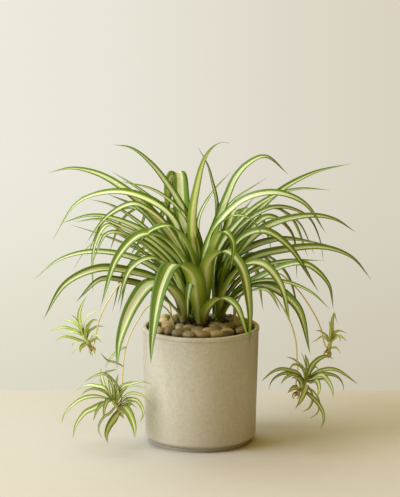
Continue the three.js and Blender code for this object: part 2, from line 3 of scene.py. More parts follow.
import bpy
import numpy as np
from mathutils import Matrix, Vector


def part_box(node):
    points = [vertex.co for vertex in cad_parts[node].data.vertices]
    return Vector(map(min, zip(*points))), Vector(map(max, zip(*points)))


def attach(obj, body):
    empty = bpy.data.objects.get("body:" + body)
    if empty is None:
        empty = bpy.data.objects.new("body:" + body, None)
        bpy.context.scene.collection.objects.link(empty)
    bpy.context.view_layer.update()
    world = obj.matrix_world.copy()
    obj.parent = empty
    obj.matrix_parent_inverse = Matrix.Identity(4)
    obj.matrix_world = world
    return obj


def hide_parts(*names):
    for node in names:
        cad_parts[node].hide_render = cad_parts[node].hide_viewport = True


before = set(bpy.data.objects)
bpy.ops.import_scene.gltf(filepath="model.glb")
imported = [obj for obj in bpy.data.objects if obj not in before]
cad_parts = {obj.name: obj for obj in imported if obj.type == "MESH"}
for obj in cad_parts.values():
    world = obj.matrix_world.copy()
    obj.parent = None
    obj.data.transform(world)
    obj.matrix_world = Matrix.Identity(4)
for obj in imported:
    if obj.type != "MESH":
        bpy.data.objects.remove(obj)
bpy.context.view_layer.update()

MM = 0.001

# ---- driving sizes, in mm ----
pot_low, pot_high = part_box("pot")
POT_HEIGHT = (pot_high[2] - pot_low[2]) / MM
POT_TOP_RADIUS = (pot_high[0] - pot_low[0]) / (2 * MM)
POT_BODY_TOP_RADIUS = POT_TOP_RADIUS - 0.8
POT_BODY_LOW_RADIUS = 70.5
POT_WALL = 6
POT_FLOOR = 9
LIP_HEIGHT = 5.5
FOOT_RADIUS = 63
FOOT_HEIGHT = 5
SOIL_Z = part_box("soil")[1][2] / MM
GAP = 0.35
NECK_RADIUS = 7
NECK_FOOT_Z = 132
NECK_TOP_Z = 155
NECK_TOP_RADIUS = 4.4
LEAF_ROOT_Z = 151.5
LEAF_ROOT_OFFSET = 3
STEM_RADIUS = 1.1
STEM_FOOT_Z = 136
PEBBLE_TOP_Z = 155

# ---- camera, in mm, and floor and light, in m ----
# The picture in pixels: its size, its scale at the pot and where the middle of the rim lies in it.
FRAME_WIDTH = 400
FRAME_HEIGHT = 497
PIXELS_PER_MM = 0.785
RIM_PIXEL = (200.5, 325.5)
SENSOR = 36
CAMERA_DISTANCE = 3700
CAMERA_PITCH = math.radians(11.35)
CAMERA_REACH = 50000
FLOOR_REACH = 1.6
FLOOR_BACK = 0.257
# Each soft lamp: its place, the point it faces, its width, watts and colour.
LAMPS = {
    "key": [(-1.69, -0.58, 1.3), (0, 0, 0.15), 1.6, 49.5, (0.98, 1.0, 1.08)],
    "sheen": [(-0.6, 0.9, 1.9), (0, 0, 0.2), 1.1, 17, (0.78, 0.93, 1.0)],
}
GLOW_PLACE = (0.9, -2.3, 0.95)
GLOW_TARGET = (-0.035, 0.02, 0.345)
GLOW_DEGREES = 5.1
GLOW_WATTS = 138
GLOW_COLOUR = (1.0, 1.0, 0.9)
GLOW_BLEND = 0.8
GLOW_SIZE = 0.04
# The wall's painted light, from its lit left to its shaded right, and what it is multiplied by low down
# and high up: painted shade near the floor.
WALL_LIT_LEFT = (0.85, 0.82, 0.725, 1)
WALL_SHADED_RIGHT = (0.69, 0.64, 0.54, 1)
DUSK_LOW = (0.84, 0.845, 0.765, 1)
DUSK_HIGH = (1.005, 1.01, 1.01, 1)
# The light of the room, from low down to high up, times its colour from the left and from the right.
FILL_LOW = (0.18, 0.10, 0.015, 1)
FILL_HIGH = (1.28, 0.98, 0.35, 1)
FILL_LEFT = (1, 1, 1, 1)
FILL_RIGHT = (0.44, 0.31, 0.11, 1)


def show(name, data):
    thing = bpy.data.objects.new(name, data)
    bpy.context.scene.collection.objects.link(thing)
    return thing


def set_camera():
    focal_pixels = PIXELS_PER_MM * CAMERA_DISTANCE
    forward = Vector((0, math.cos(CAMERA_PITCH), -math.sin(CAMERA_PITCH)))
    up = Vector((0, math.sin(CAMERA_PITCH), math.cos(CAMERA_PITCH)))
    right = Vector((1, 0, 0))
    across = (RIM_PIXEL[0] - FRAME_WIDTH / 2) / PIXELS_PER_MM
    below = (RIM_PIXEL[1] - FRAME_HEIGHT / 2) / PIXELS_PER_MM
    rim = Vector((0, 0, POT_HEIGHT))
    place = rim - right * across + up * below - forward * CAMERA_DISTANCE
    data = bpy.data.cameras.new("camera")
    data.sensor_width = SENSOR
    data.sensor_fit = "AUTO"
    data.lens = focal_pixels * SENSOR / FRAME_HEIGHT
    data.clip_end = CAMERA_REACH * MM
    camera = show("camera", data)
    camera.location = place * MM
    camera.rotation_euler = (math.pi / 2 - CAMERA_PITCH, 0, 0)
    bpy.context.scene.camera = camera


def hang_lamp(data, place, target, watts, colour):
    data.energy = watts
    data.color = colour
    lamp = show(data.name, data)
    lamp.location = place
    lamp.rotation_euler = (Vector(target) - Vector(place)).to_track_quat("-Z", "Y").to_euler()


def set_lamps():
    for name, (place, target, size, watts, colour) in LAMPS.items():
        data = bpy.data.lights.new(name, "AREA")
        data.shape = "DISK"
        data.size = size
        hang_lamp(data, place, target, watts, colour)
    # A narrow spot that passes over the pot, for the light that shines through the upright leaves.
    data = bpy.data.lights.new("glow", "SPOT")
    data.spot_size = math.radians(GLOW_DEGREES)
    data.spot_blend = GLOW_BLEND
    data.shadow_soft_size = GLOW_SIZE
    hang_lamp(data, GLOW_PLACE, GLOW_TARGET, GLOW_WATTS, GLOW_COLOUR)


def set_world():
    """The wall that the camera sees, and the light of the room, which the camera doesn't see."""
    world = bpy.data.worlds.new("studio")
    bpy.context.scene.world = world
    n = Nodes(world)
    n.tree.nodes.clear()
    x, _, z = n.split("XYZ", n.new("TexCoord").outputs["Generated"])
    # painted light on the wall: brighter on the left, darker on the right and low down
    wall = n.mix(n.smooth(x, -0.085, 0.085), WALL_LIT_LEFT, WALL_SHADED_RIGHT)
    dusk = n.mix(n.smooth(z, -0.265, -0.165), DUSK_LOW, DUSK_HIGH)
    height = n.mix(n.smooth(z, 0.0, 0.85), FILL_LOW, FILL_HIGH)
    turn = n.mix(n.smooth(x, -0.2, 0.7), FILL_LEFT, FILL_RIGHT)
    seen = n.new("Background")
    fill = n.new("Background")
    n.link(n.mix(1, wall, dusk, "MULTIPLY"), seen.inputs["Color"])
    n.link(n.mix(1, height, turn, "MULTIPLY"), fill.inputs["Color"])
    both = n.new("MixShader")
    n.link(n.new("LightPath").outputs["Is Camera Ray"], both.inputs["Fac"])
    n.link(fill.outputs[0], both.inputs[1])
    n.link(seen.outputs[0], both.inputs[2])
    n.link(both.outputs[0], n.new("OutputWorld").inputs["Surface"])


def set_stage():
    bpy.context.scene.view_settings.view_transform = "Standard"
    set_camera()
    set_world()
    set_lamps()
    corners = [(-FLOOR_REACH, -FLOOR_REACH, 0), (FLOOR_REACH, -FLOOR_REACH, 0)]
    corners += [(FLOOR_REACH, FLOOR_BACK, 0), (-FLOOR_REACH, FLOOR_BACK, 0)]
    floor = make_piece("floor", np.array(corners) / MM, [(0, 1, 2, 3)], floor_material(), False)


# ---- meshes ----
def make_piece(name, vertices, faces, material, smooth=True, uvs=None, tint=None):
    mesh = bpy.data.meshes.new(name)
    mesh.from_pydata((np.asarray(vertices) * MM).tolist(), [], [list(f) for f in faces])
    if uvs is not None:
        layer = mesh.uv_layers.new(name="UVMap")
        loops = np.empty(len(mesh.loops), dtype=np.int32)
        mesh.loops.foreach_get("vertex_index", loops)
        layer.data.foreach_set("uv", np.asarray(uvs, dtype=np.float32)[loops].ravel())
    if tint is not None:
        layer = mesh.attributes.new("tint", "FLOAT_COLOR", "POINT")
        layer.data.foreach_set("color", np.asarray(tint, dtype=np.float32).ravel())
    mesh.validate()
    if smooth:
        mesh.polygons.foreach_set("use_smooth", [True] * len(mesh.polygons))
    mesh.materials.append(material)
    return show(name, mesh)


def settle(piece, slot, *nodes):
    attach(piece, "root")
    if nodes:
        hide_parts(*nodes)


UNDER_MARK = 2  # what the red of a leaf's tint gains on its lower face
WHITE = (1, 1, 1, 1)  # the tint of a body whose material asks for none


class Heap:
    """Many small closed bodies gathered into one mesh."""

    def __init__(self):
        self.vertices = []
        self.faces = []
        self.uvs = []
        self.tints = []
        self.count = 0

    def add(self, vertices, faces, uvs, tint, under=0):
        """Under is 1 for the vertices of a leaf's lower face."""
        tints = np.tile(np.array(tint, float), (len(vertices), 1))
        tints[:, 0] += UNDER_MARK * under
        self.vertices.append(vertices)
        self.faces.extend(tuple(i + self.count for i in face) for face in faces)
        self.uvs.append(uvs)
        self.tints.append(tints)
        self.count += len(vertices)

    def piece(self, name, material):
        return make_piece(name, np.vstack(self.vertices), self.faces, material,
                          uvs=np.vstack(self.uvs), tint=np.vstack(self.tints))


# A full turn in radians, to one decimal, for the random start of a wave.
ROUGH_TURN = 6.3
FAN_SEED = 11
LEAF_SEED = 23
PLANTLET_SEED = 41
STONE_PLACE_SEED = 5
STONE_LOOK_SEED = 77


def seeded(seed):
    """Repeatable numbers from 0 to 1."""
    state = seed
    while True:
        state = (state * 1664525 + 1013904223) % 4294967296
        yield state / 4294967296


def lathe_grid(profile, sides):
    """Vertices and faces of a closed profile, from axis to axis, turned about Z."""
    rings = profile[1:-1]
    angles = np.linspace(0, 2 * math.pi, sides, endpoint=False)
    vertices = [[0, 0, profile[0][1]]]
    for radius, height in rings:
        for angle in angles:
            vertices.append([radius * math.cos(angle), radius * math.sin(angle), height])
    vertices.append([0, 0, profile[-1][1]])
    faces = []
    for k in range(sides):
        after = (k + 1) % sides
        faces.append((0, 1 + after, 1 + k))
        for r in range(len(rings) - 1):
            low = 1 + r * sides
            high = low + sides
            faces.append((low + k, low + after, high + after, high + k))
        last = 1 + (len(rings) - 1) * sides
        faces.append((last + k, last + after, len(vertices) - 1))
    return np.array(vertices), faces


def skin(count, sides):
    """Faces of a closed body of many rings, one after another, with a cap at each end."""
    faces = []
    for i in range(count - 1):
        for k in range(sides):
            after = (k + 1) % sides
            a = i * sides
            faces.append((a + k, a + after, a + sides + after, a + sides + k))
    faces.append(tuple(range(sides - 1, -1, -1)))
    end = (count - 1) * sides
    faces.append(tuple(end + k for k in range(sides)))
    return faces


def arc(centre, radius, start, end, steps):
    """Points of an arc in the (r, z) plane, angles in degrees."""
    points = []
    for angle in np.radians(np.linspace(start, end, steps)):
        points.append((centre[0] + radius * math.cos(angle), centre[1] + radius * math.sin(angle)))
    return points


def spline(points, count):
    """A centripetal Catmull-Rom curve through the points, evenly resampled."""
    knots = [np.array(p, float) for p in points]
    ends = [2 * knots[0] - knots[1]] + knots + [2 * knots[-1] - knots[-2]]
    dense = []
    for p0, p1, p2, p3 in zip(ends, ends[1:], ends[2:], ends[3:]):
        d0 = max(np.linalg.norm(p1 - p0), 1e-6) ** 0.5
        d1 = max(np.linalg.norm(p2 - p1), 1e-6) ** 0.5
        d2 = max(np.linalg.norm(p3 - p2), 1e-6) ** 0.5
        t1 = ((p1 - p0) / d0 - (p2 - p0) / (d0 + d1) + (p2 - p1) / d1) * d1
        t2 = ((p2 - p1) / d1 - (p3 - p1) / (d1 + d2) + (p3 - p2) / d2) * d1
        t = np.linspace(0, 1, 80, endpoint=False)[:, None]
        dense.append((2 * t**3 - 3 * t**2 + 1) * p1 + (t**3 - 2 * t**2 + t) * t1
                     + (3 * t**2 - 2 * t**3) * p2 + (t**3 - t**2) * t2)
    path = np.vstack(dense + [knots[-1][None, :]])
    steps = np.linalg.norm(np.diff(path, axis=0), axis=1)
    run = np.concatenate([[0], np.cumsum(steps)])
    wanted = np.linspace(0, run[-1], count)
    return np.stack([np.interp(wanted, run, path[:, k]) for k in range(3)], axis=1)


def unit(vectors):
    return vectors / np.maximum(np.linalg.norm(vectors, axis=-1, keepdims=True), 1e-9)


# ---- materials ----
class Nodes:
    """A thin wrapper that keeps the node trees below short."""

    def __init__(self, owner):
        owner.use_nodes = True
        self.owner = owner
        self.tree = owner.node_tree

    def link(self, source, target):
        self.tree.links.new(source, target)

    def new(self, kind):
        return self.tree.nodes.new("ShaderNode" + kind)

    def feed(self, socket, value):
        if isinstance(value, (int, float, tuple)):
            socket.default_value = value
        else:
            self.link(value, socket)

    def split(self, kind, whole):
        node = self.new("Separate" + kind)
        self.link(whole, node.inputs[0])
        return node.outputs[0], node.outputs[1], node.outputs[2]

    def join(self, kind, *parts):
        node = self.new("Combine" + kind)
        for socket, part in zip(node.inputs, parts):
            self.feed(socket, part)
        return node.outputs[0]

    def uv(self):
        node = self.new("UVMap")
        node.uv_map = "UVMap"
        return self.split("XYZ", node.outputs["UV"])[:2]

    def tint(self):
        node = self.new("Attribute")
        node.attribute_name = "tint"
        return *self.split("Color", node.outputs["Color"]), node.outputs["Alpha"]

    def place(self):
        return self.new("TexCoord").outputs["Object"]

    def maths(self, kind, a, b=0.0):
        node = self.new("Math")
        node.operation = kind
        self.feed(node.inputs[0], a)
        self.feed(node.inputs[1], b)
        return node.outputs[0]

    def times(self, a, b):
        return self.maths("MULTIPLY", a, b)

    def less(self, a, b):
        return self.maths("SUBTRACT", a, b)

    def smooth(self, value, low, high, to_low=0.0, to_high=1.0):
        node = self.new("MapRange")
        node.interpolation_type = "SMOOTHSTEP"
        self.feed(node.inputs["Value"], value)
        self.feed(node.inputs["From Min"], low)
        self.feed(node.inputs["From Max"], high)
        self.feed(node.inputs["To Min"], to_low)
        self.feed(node.inputs["To Max"], to_high)
        return node.outputs["Result"]

    def mix(self, share, a, b, kind="MIX"):
        node = self.new("Mix")
        node.data_type = "RGBA"
        node.blend_type = kind
        self.feed(node.inputs["Factor"], share)
        self.feed(node.inputs["A"], a)
        self.feed(node.inputs["B"], b)
        return node.outputs["Result"]

    def stretch(self, vector, scale):
        node = self.new("VectorMath")
        node.operation = "MULTIPLY"
        self.feed(node.inputs[0], vector)
        node.inputs[1].default_value = scale
        return node.outputs[0]

    def noise(self, vector, scale, detail=3.0, rough=0.55):
        node = self.new("TexNoise")
        self.link(vector, node.inputs["Vector"])
        node.inputs["Scale"].default_value = scale
        node.inputs["Detail"].default_value = detail
        node.inputs["Roughness"].default_value = rough
        return node.outputs["Fac"]

    def cells(self, vector, scale):
        node = self.new("TexVoronoi")
        self.link(vector, node.inputs["Vector"])
        node.inputs["Scale"].default_value = scale
        return node.outputs["Distance"], node.outputs["Color"]


class Surface(Nodes):
    """The nodes of a new material."""

    def __init__(self, name):
        super().__init__(bpy.data.materials.new(name))
        self.shader = self.tree.nodes["Principled BSDF"]

    def bump(self, height, strength, distance):
        node = self.new("Bump")
        node.inputs["Strength"].default_value = strength
        node.inputs["Distance"].default_value = distance
        self.link(height, node.inputs["Height"])
        self.link(node.outputs[0], self.shader.inputs["Normal"])

    def finish(self, colour, roughness):
        self.feed(self.shader.inputs["Base Color"], colour)
        self.feed(self.shader.inputs["Roughness"], roughness)
        return self.owner


def floor_material():
    n = Surface("floor")
    grain = n.noise(n.place(), 40)
    colour = n.mix(grain, (0.445, 0.45, 0.45, 1), (0.47, 0.475, 0.475, 1))
    return n.finish(colour, 0.75)


def stoneware_material():
    n = Surface("stoneware")
    place = n.place()
    broad = n.noise(n.stretch(place, (1, 1, 0.5)), 30, 4)
    mottle = n.noise(place, 260, 3, 0.65)
    drawn = n.noise(n.stretch(place, (1, 1, 0.12)), 170, 3)
    colour = n.mix(broad, (0.50, 0.50, 0.44, 1), (0.61, 0.62, 0.56, 1))
    colour = n.mix(n.smooth(mottle, 0.35, 0.70, 0.0, 0.4), colour, (0.42, 0.38, 0.28, 1))
    colour = n.mix(n.smooth(drawn, 0.40, 0.75, 0.0, 0.16), colour, (0.42, 0.37, 0.26, 1))
    # rare dark specks, rare pale ones, and painted shade that darkens the lower wall toward the foot
    speck, shade = n.cells(place, 800)
    dark_pick, pale_pick, _ = n.split("Color", shade)
    dark = n.times(n.maths("GREATER_THAN", dark_pick, 0.84), n.smooth(speck, 0.42, 0.2))
    colour = n.mix(n.times(dark, 0.4), colour, (0.20, 0.15, 0.08, 1))
    pale = n.times(n.maths("GREATER_THAN", pale_pick, 0.86), n.smooth(speck, 0.4, 0.15))
    colour = n.mix(n.times(pale, 0.35), colour, (0.78, 0.74, 0.62, 1))
    _, _, height = n.split("XYZ", place)
    # painted shade: the wall grows darker toward the foot, from 10 cm down
    colour = n.mix(n.smooth(height, 0.10, 0.0, 0.0, 0.25), colour, (0.34, 0.30, 0.21, 1))
    fine = n.noise(place, 600, 4)
    n.bump(n.maths("ADD", fine, n.times(drawn, 0.4)), 0.25, 0.0005)
    return n.finish(colour, n.smooth(broad, 0.2, 0.8, 0.40, 0.54))


def soil_material():
    n = Surface("soil")
    place = n.place()
    lumps = n.noise(place, 260, 6, 0.65)
    colour = n.mix(lumps, (0.010, 0.007, 0.005, 1), (0.060, 0.040, 0.026, 1))
    n.bump(lumps, 0.9, 0.003)
    return n.finish(colour, 0.95)


def bark_material():
    n = Surface("bark")
    grain = n.noise(n.place(), 500)
    return n.finish(n.mix(grain, (0.10, 0.05, 0.02, 1), (0.36, 0.20, 0.09, 1)), 0.9)


def perlite_material():
    n = Surface("perlite")
    grain = n.noise(n.place(), 900)
    return n.finish(n.mix(grain, (0.45, 0.40, 0.33, 1), (0.80, 0.76, 0.68, 1)), 0.9)


def pebble_material():
    n = Surface("pebble")
    place = n.place()
    red, green, blue, _ = n.tint()
    base = n.join("Color", red, green, blue)
    mottle = n.noise(place, 180, 5, 0.6)
    grit = n.noise(place, 1100, 3, 0.7)
    colour = n.mix(n.smooth(mottle, 0.3, 0.75, 0.0, 0.4), base, (0.10, 0.075, 0.04, 1))
    colour = n.mix(n.smooth(grit, 0.5, 0.8, 0.0, 0.25), colour, (0.62, 0.55, 0.40, 1))
    n.bump(grit, 0.2, 0.0005)
    return n.finish(colour, n.smooth(mottle, 0.2, 0.8, 0.38, 0.55))


# Leaf colours, each pair from a plain leaf to a pale one.
CREAM = (0.54, 0.60, 0.40, 1), (0.68, 0.73, 0.56, 1)
LIME = (0.20, 0.33, 0.012, 1), (0.29, 0.43, 0.03, 1)
GREEN = (0.062, 0.135, 0.002, 1), (0.110, 0.210, 0.005, 1)
CREAM_VEIN = (0.36, 0.43, 0.10, 1)
CREAM_STREAK = (0.58, 0.54, 0.30, 1)
YOUNG_CREAM = (0.62, 0.72, 0.30, 1)
RIM_GREEN = (0.038, 0.092, 0.002, 1)
SAGE_SHEEN = (0.115, 0.215, 0.05, 1)
YOUNG_GREEN = (0.42, 0.54, 0.12, 1)
CROWN_SHADE_GREEN = (0.13, 0.155, 0.015, 1)
# The lower face's tint and how much paler it is: partly its own colour, partly painted light shining
# through the leaf.
UNDER_TINT_AND_GLOW = (1, 1, 0.6, 1)
UNDER_PALER_AND_GLOW = 0.35
WITHERED = (0.22, 0.11, 0.04, 1)


def leaf_material(name, fresh):
    """Green margins and a cream stripe with fine long streaks; fresh is the share of young lime.

    U runs across a leaf and v from its root to its tip. The tint holds how pale the leaf is, the stripe's
    share of its half width, a seed and the leaf's age, which sets its withered tip and a painted sheen.
    """
    n = Surface(name)
    u, v = n.uv()
    mark, stripe, seed, withering_and_sheen = n.tint()
    under = n.maths("GREATER_THAN", mark, 1.5)
    tone = n.less(mark, n.times(under, UNDER_MARK))
    edge = n.times(n.maths("ABSOLUTE", n.less(u, 0.5)), 2.0)
    shift = n.times(seed, 90.0)
    broad = n.join("XYZ", n.times(u, 12.0), n.times(v, 1.2), shift)
    streaks = n.noise(broad, 1.0, 3, 0.6)
    fine = n.join("XYZ", n.times(u, 30.0), n.times(v, 0.8), shift)
    veins = n.noise(fine, 1.0, 2, 0.6)
    shifted = n.maths("ADD", edge, n.times(n.less(streaks, 0.5), 0.38))
    reach = n.times(stripe, n.smooth(v, 1.02, 0.70))
    past = n.less(shifted, reach)
    # the stripe
    cream = n.mix(tone, *CREAM)
    cream = n.mix(n.smooth(veins, 0.46, 0.66, 0.0, 0.6), cream, CREAM_VEIN)
    cream = n.mix(n.smooth(streaks, 0.42, 0.30, 0.0, 0.3), cream, CREAM_STREAK)
    cream = n.mix(fresh, cream, YOUNG_CREAM)
    # the margins: lime beside the stripe, dark at the rim, and a painted grey-green sheen on the far,
    # falling half of an older leaf
    lime = n.mix(tone, *LIME)
    green = n.mix(tone, *GREEN)
    green = n.mix(n.smooth(veins, 0.35, 0.65, 0.35, 0.0), green, lime)
    green = n.mix(n.smooth(streaks, 0.38, 0.54, 0.6, 0.0), green, lime)
    green = n.mix(n.smooth(past, 0.45, 0.0, 0.0, 0.75), green, lime)
    green = n.mix(n.smooth(edge, 0.5, 0.9, 0.0, 0.85), green, RIM_GREEN)
    # painted sheen: the grey-green that a glossy leaf reflects where it arches over and falls
    painted_sheen = n.times(withering_and_sheen, n.smooth(v, 0.38, 0.62, 0.0, 0.45))
    green = n.mix(painted_sheen, green, SAGE_SHEEN)
    green = n.mix(fresh, green, YOUNG_GREEN)
    colour = n.mix(n.smooth(past, -0.06, 0.07), cream, green)
    # painted shade: darker toward the leaf's root, deep in the crown
    colour = n.mix(n.smooth(v, 0.34, 0.04, 0.0, 0.6), colour, CROWN_SHADE_GREEN)
    # the lower face, paler and yellower, partly its own colour and partly painted light shining through
    # the leaf; then the withered tip
    pale = n.new("Gamma")
    n.link(colour, pale.inputs["Color"])
    n.link(n.less(1.0, n.times(under, UNDER_PALER_AND_GLOW)), pale.inputs["Gamma"])
    pale = n.mix(under, pale.outputs["Color"], UNDER_TINT_AND_GLOW, "MULTIPLY")
    withered = n.smooth(n.maths("ADD", v, n.times(withering_and_sheen, 0.06)), 1.03, 1.06)
    colour = n.mix(withered, pale, WITHERED)
    n.bump(veins, 0.15, 0.0003)
    n.shader.inputs["Specular IOR Level"].default_value = 0.3
    return n.finish(colour, n.smooth(veins, 0.3, 0.7, 0.36, 0.46))


def runner_material():
    n = Surface("runner")
    place = n.place()
    fibre = n.noise(n.stretch(place, (1, 1, 0.2)), 900, 3)
    patch = n.noise(place, 60, 3)
    colour = n.mix(patch, (0.70, 0.63, 0.24, 1), (0.86, 0.80, 0.42, 1))
    colour = n.mix(n.smooth(fibre, 0.4, 0.8, 0.0, 0.35), colour, (0.55, 0.50, 0.15, 1))
    n.bump(fibre, 0.3, 0.0003)
    return n.finish(colour, 0.5)


def root_material():
    n = Surface("roots")
    patch = n.noise(n.place(), 300, 4)
    _, along = n.uv()
    colour = n.mix(n.smooth(patch, 0.4, 0.6), (0.24, 0.13, 0.04, 1), (0.55, 0.42, 0.17, 1))
    colour = n.mix(n.smooth(along, 0.24, 0.48), colour, (0.58, 0.63, 0.22, 1))
    return n.finish(colour, 0.6)


# ---- pot ----
FOOT_ROUND = 1.2
KNEE_ROUND = 5.2
KNEE_Z = FOOT_HEIGHT + 6
LIP_ROUND = 1.7


def make_pot():
    lip = POT_TOP_RADIUS
    inner = lip - POT_WALL
    low = POT_BODY_LOW_RADIUS
    neck = POT_HEIGHT - LIP_HEIGHT
    profile = [(0, 0), (FOOT_RADIUS - 12, 0)]
    profile += arc((FOOT_RADIUS - FOOT_ROUND, FOOT_ROUND), FOOT_ROUND, -90, 0, 4)
    profile += [(FOOT_RADIUS, FOOT_HEIGHT - 0.4), (FOOT_RADIUS + 0.4, FOOT_HEIGHT)]
    profile += [(FOOT_RADIUS + 2, FOOT_HEIGHT + 0.3)]
    profile += arc((low - KNEE_ROUND, KNEE_Z), KNEE_ROUND, -72, 0, 8)
    for share in np.linspace(0.08, 0.985, 14):
        profile.append((low + (POT_BODY_TOP_RADIUS - low) * share, KNEE_Z + (neck - KNEE_Z) * share))
    profile += [(POT_BODY_TOP_RADIUS, neck - 0.7), (POT_BODY_TOP_RADIUS - 0.35, neck - 0.1)]
    profile += [(lip - 0.35, neck + 0.3), (lip, neck + 1.0)]
    profile += arc((lip - LIP_ROUND, POT_HEIGHT - LIP_ROUND), LIP_ROUND, 0, 90, 6)
    profile += arc((inner + LIP_ROUND, POT_HEIGHT - LIP_ROUND), LIP_ROUND, 90, 180, 6)
    profile += [(inner - 0.3, POT_HEIGHT - 6), (low - POT_WALL + 1, POT_FLOOR + 20)]
    profile += [(low - POT_WALL, POT_FLOOR + 8), (low - POT_WALL - 5, POT_FLOOR), (0, POT_FLOOR)]
    vertices, faces = lathe_grid(profile, 128)
    settle(make_piece("stoneware_pot", vertices, faces, stoneware_material()), "stoneware", "pot")


# ---- where the shoots and runners stand, as in the solids ----
SHOOTS = {
    "front": (2, 2),
    "middle": (2, 22),
    "left": (-20, 18),
    "right": (24, 18),
    "back_left": (-14, 40),
    "back_right": (18, 40),
}

# Each leaf: depth of its tip, width, tilt of its face towards the front in degrees, then the
# points (x, z) its middle runs through, from above the crown out to the tip.
LEAVES = {
    "middle": [
        [8, 17, 45, [-3, 254], [-17, 288], [-39, 326], [-64, 359], [-88, 378], [-110, 382]],
        [0, 12, 40, [-2, 246], [-13, 280], [-39, 311], [-64, 327], [-100, 336]],
        [-5, 18, -15, [-4, 219], [-10, 272], [-9, 301], [-3, 335], [1, 353], [7, 369],
            [16, 381], [27, 387], [36, 386]],
        [30, 13, -25, [11, 223], [20, 279], [20, 307], [15, 330], [9, 352], [-3, 375]],
        [15, 18, 45, [7, 234], [22, 281], [35, 316], [45, 339], [61, 357], [82, 366], [111, 343]],
        [-45, 16, 45, [3, 232], [17, 275], [38, 303], [63, 321], [97, 327], [131, 314], [157, 278]],
    ],
    "back_left": [
        [95, 16, 45, [-24, 232], [-52, 272], [-91, 308], [-130, 331], [-166, 338], [-197, 331]],
        [75, 13, 35, [-26, 222], [-50, 258], [-78, 288], [-120, 307]],
        [105, 10, 35, [-17, 229], [-39, 276], [-72, 305], [-115, 331]],
        [140, 28, 0, [-16, 219], [-25, 289], [-29, 331], [-38, 321], [-44, 253]],
        [62, 9, 20, [-4, 251], [-1, 282], [17, 314], [39, 338]],
    ],
    "left": [
        [42, 13, 40, [-17, 217], [-36, 284], [-71, 309], [-111, 317], [-156, 303], [-189, 254]],
        [62, 11, 35, [-19, 226], [-48, 295], [-90, 315], [-122, 315], [-156, 304]],
        [52, 9, 35, [-22, 197], [-52, 250], [-90, 284], [-116, 298], [-142, 304]],
        [-30, 14, 35, [-16, 224], [-41, 278], [-64, 301], [-85, 311], [-116, 297], [-144, 263]],
        [22, 13, 40, [-21, 218], [-52, 254], [-96, 280], [-138, 289], [-176, 279]],
        [2, 11, 40, [-24, 209], [-58, 253], [-96, 275], [-127, 287], [-159, 284]],
        [34, 7, 25, [-26, 198], [-64, 234], [-116, 258], [-165, 274]],
        [-50, 10, 25, [-29, 205], [-64, 250], [-95, 274], [-117, 286], [-133, 259], [-135, 203]],
        [-22, 12, 40, [-27, 206], [-51, 241], [-89, 268], [-117, 273], [-136, 237]],
        [28, 7, 25, [-26, 192], [-64, 233], [-113, 266], [-141, 249], [-162, 219]],
        [8, 12, 40, [-21, 174], [-41, 207], [-77, 232], [-134, 244], [-179, 234], [-211, 209]],
        [-110, 18, 35, [-26, 176], [-51, 212], [-88, 229], [-128, 237], [-168, 222], [-194, 183]],
        [-95, 15, 40, [-31, 171], [-64, 205], [-95, 219], [-125, 225], [-154, 202]],
        [-95, 15, 15, [-21, 190], [-38, 235], [-63, 249], [-87, 238], [-103, 198]],
        [-125, 26, 10, [-25, 181], [-42, 211], [-62, 216], [-84, 193], [-100, 155], [-103, 125]],
    ],
    "front": [
        [-115, 20, 25, [-3, 201], [-21, 246], [-48, 278], [-74, 283], [-102, 258], [-123, 200]],
        [-140, 28, 0, [-3, 185], [-12, 232], [-33, 246], [-48, 222], [-59, 165], [-61, 134]],
        [-80, 19, 15, [-1, 207], [-13, 257], [-36, 290], [-62, 286], [-89, 255]],
        [-60, 14, 0, [4, 185], [-1, 214], [-11, 215], [-16, 196], [-16, 173]],
        [-100, 19, 0, [7, 217], [16, 264], [28, 288], [40, 276], [37, 242]],
        [-135, 20, 0, [4, 210], [12, 249], [30, 262], [50, 245], [60, 201], [60, 153]],
        [-110, 17, 0, [8, 178], [26, 199], [43, 193], [59, 159]],
        [-55, 10, 20, [7, 219], [19, 283], [44, 301], [64, 296], [80, 273]],
    ],
    "right": [
        [26, 16, 40, [27, 201], [50, 244], [88, 276], [139, 288], [171, 283], [198, 266]],
        [38, 13, 35, [27, 204], [55, 257], [86, 286], [116, 264], [124, 203]],
        [-35, 16, 35, [26, 204], [47, 261], [78, 276], [110, 258], [149, 201]],
        [10, 15, 40, [30, 190], [59, 231], [114, 247], [158, 249], [193, 236], [217, 208]],
        [44, 9, 30, [31, 191], [70, 227], [124, 244]],
        [-2, 11, 35, [33, 184], [63, 218], [107, 233], [154, 235]],
        [-45, 14, 35, [35, 182], [70, 212], [129, 236], [160, 213], [167, 182]],
        [-75, 10, 25, [35, 179], [66, 211], [106, 216], [139, 206], [161, 188]],
        [-100, 18, 20, [30, 199], [53, 237], [77, 242], [99, 220], [111, 177]],
        [-85, 18, 30, [32, 175], [59, 205], [86, 209], [121, 186], [137, 132]],
        [-80, 9, 25, [37, 180], [62, 203], [84, 208], [100, 186]],
    ],
    "back_right": [
        [82, 13, 40, [20, 222], [55, 268], [102, 312], [147, 335], [193, 345]],
        [52, 11, 35, [19, 229], [51, 278], [91, 308], [127, 318], [165, 316]],
        [68, 11, 30, [19, 213], [51, 268], [96, 293], [137, 280], [153, 251], [159, 219]],
        [62, 8, 25, [15, 232], [35, 293], [84, 330]],
        [58, 15, 35, [22, 204], [55, 237], [102, 252], [162, 244]],
        [60, 11, 30, [21, 231], [48, 279], [69, 305]],
    ],
}

# Leaves placed by a rule: shoot, first and last compass angle, how many, reach, crest, fall.
FANS = [
    ["back_left", 91, 148, 5, 160, 286, 70],
    ["back_left", 98, 155, 4, 120, 235, 90],
    ["back_right", 32, 84, 5, 160, 284, 72],
    ["back_right", 27, 76, 4, 120, 232, 90],
]

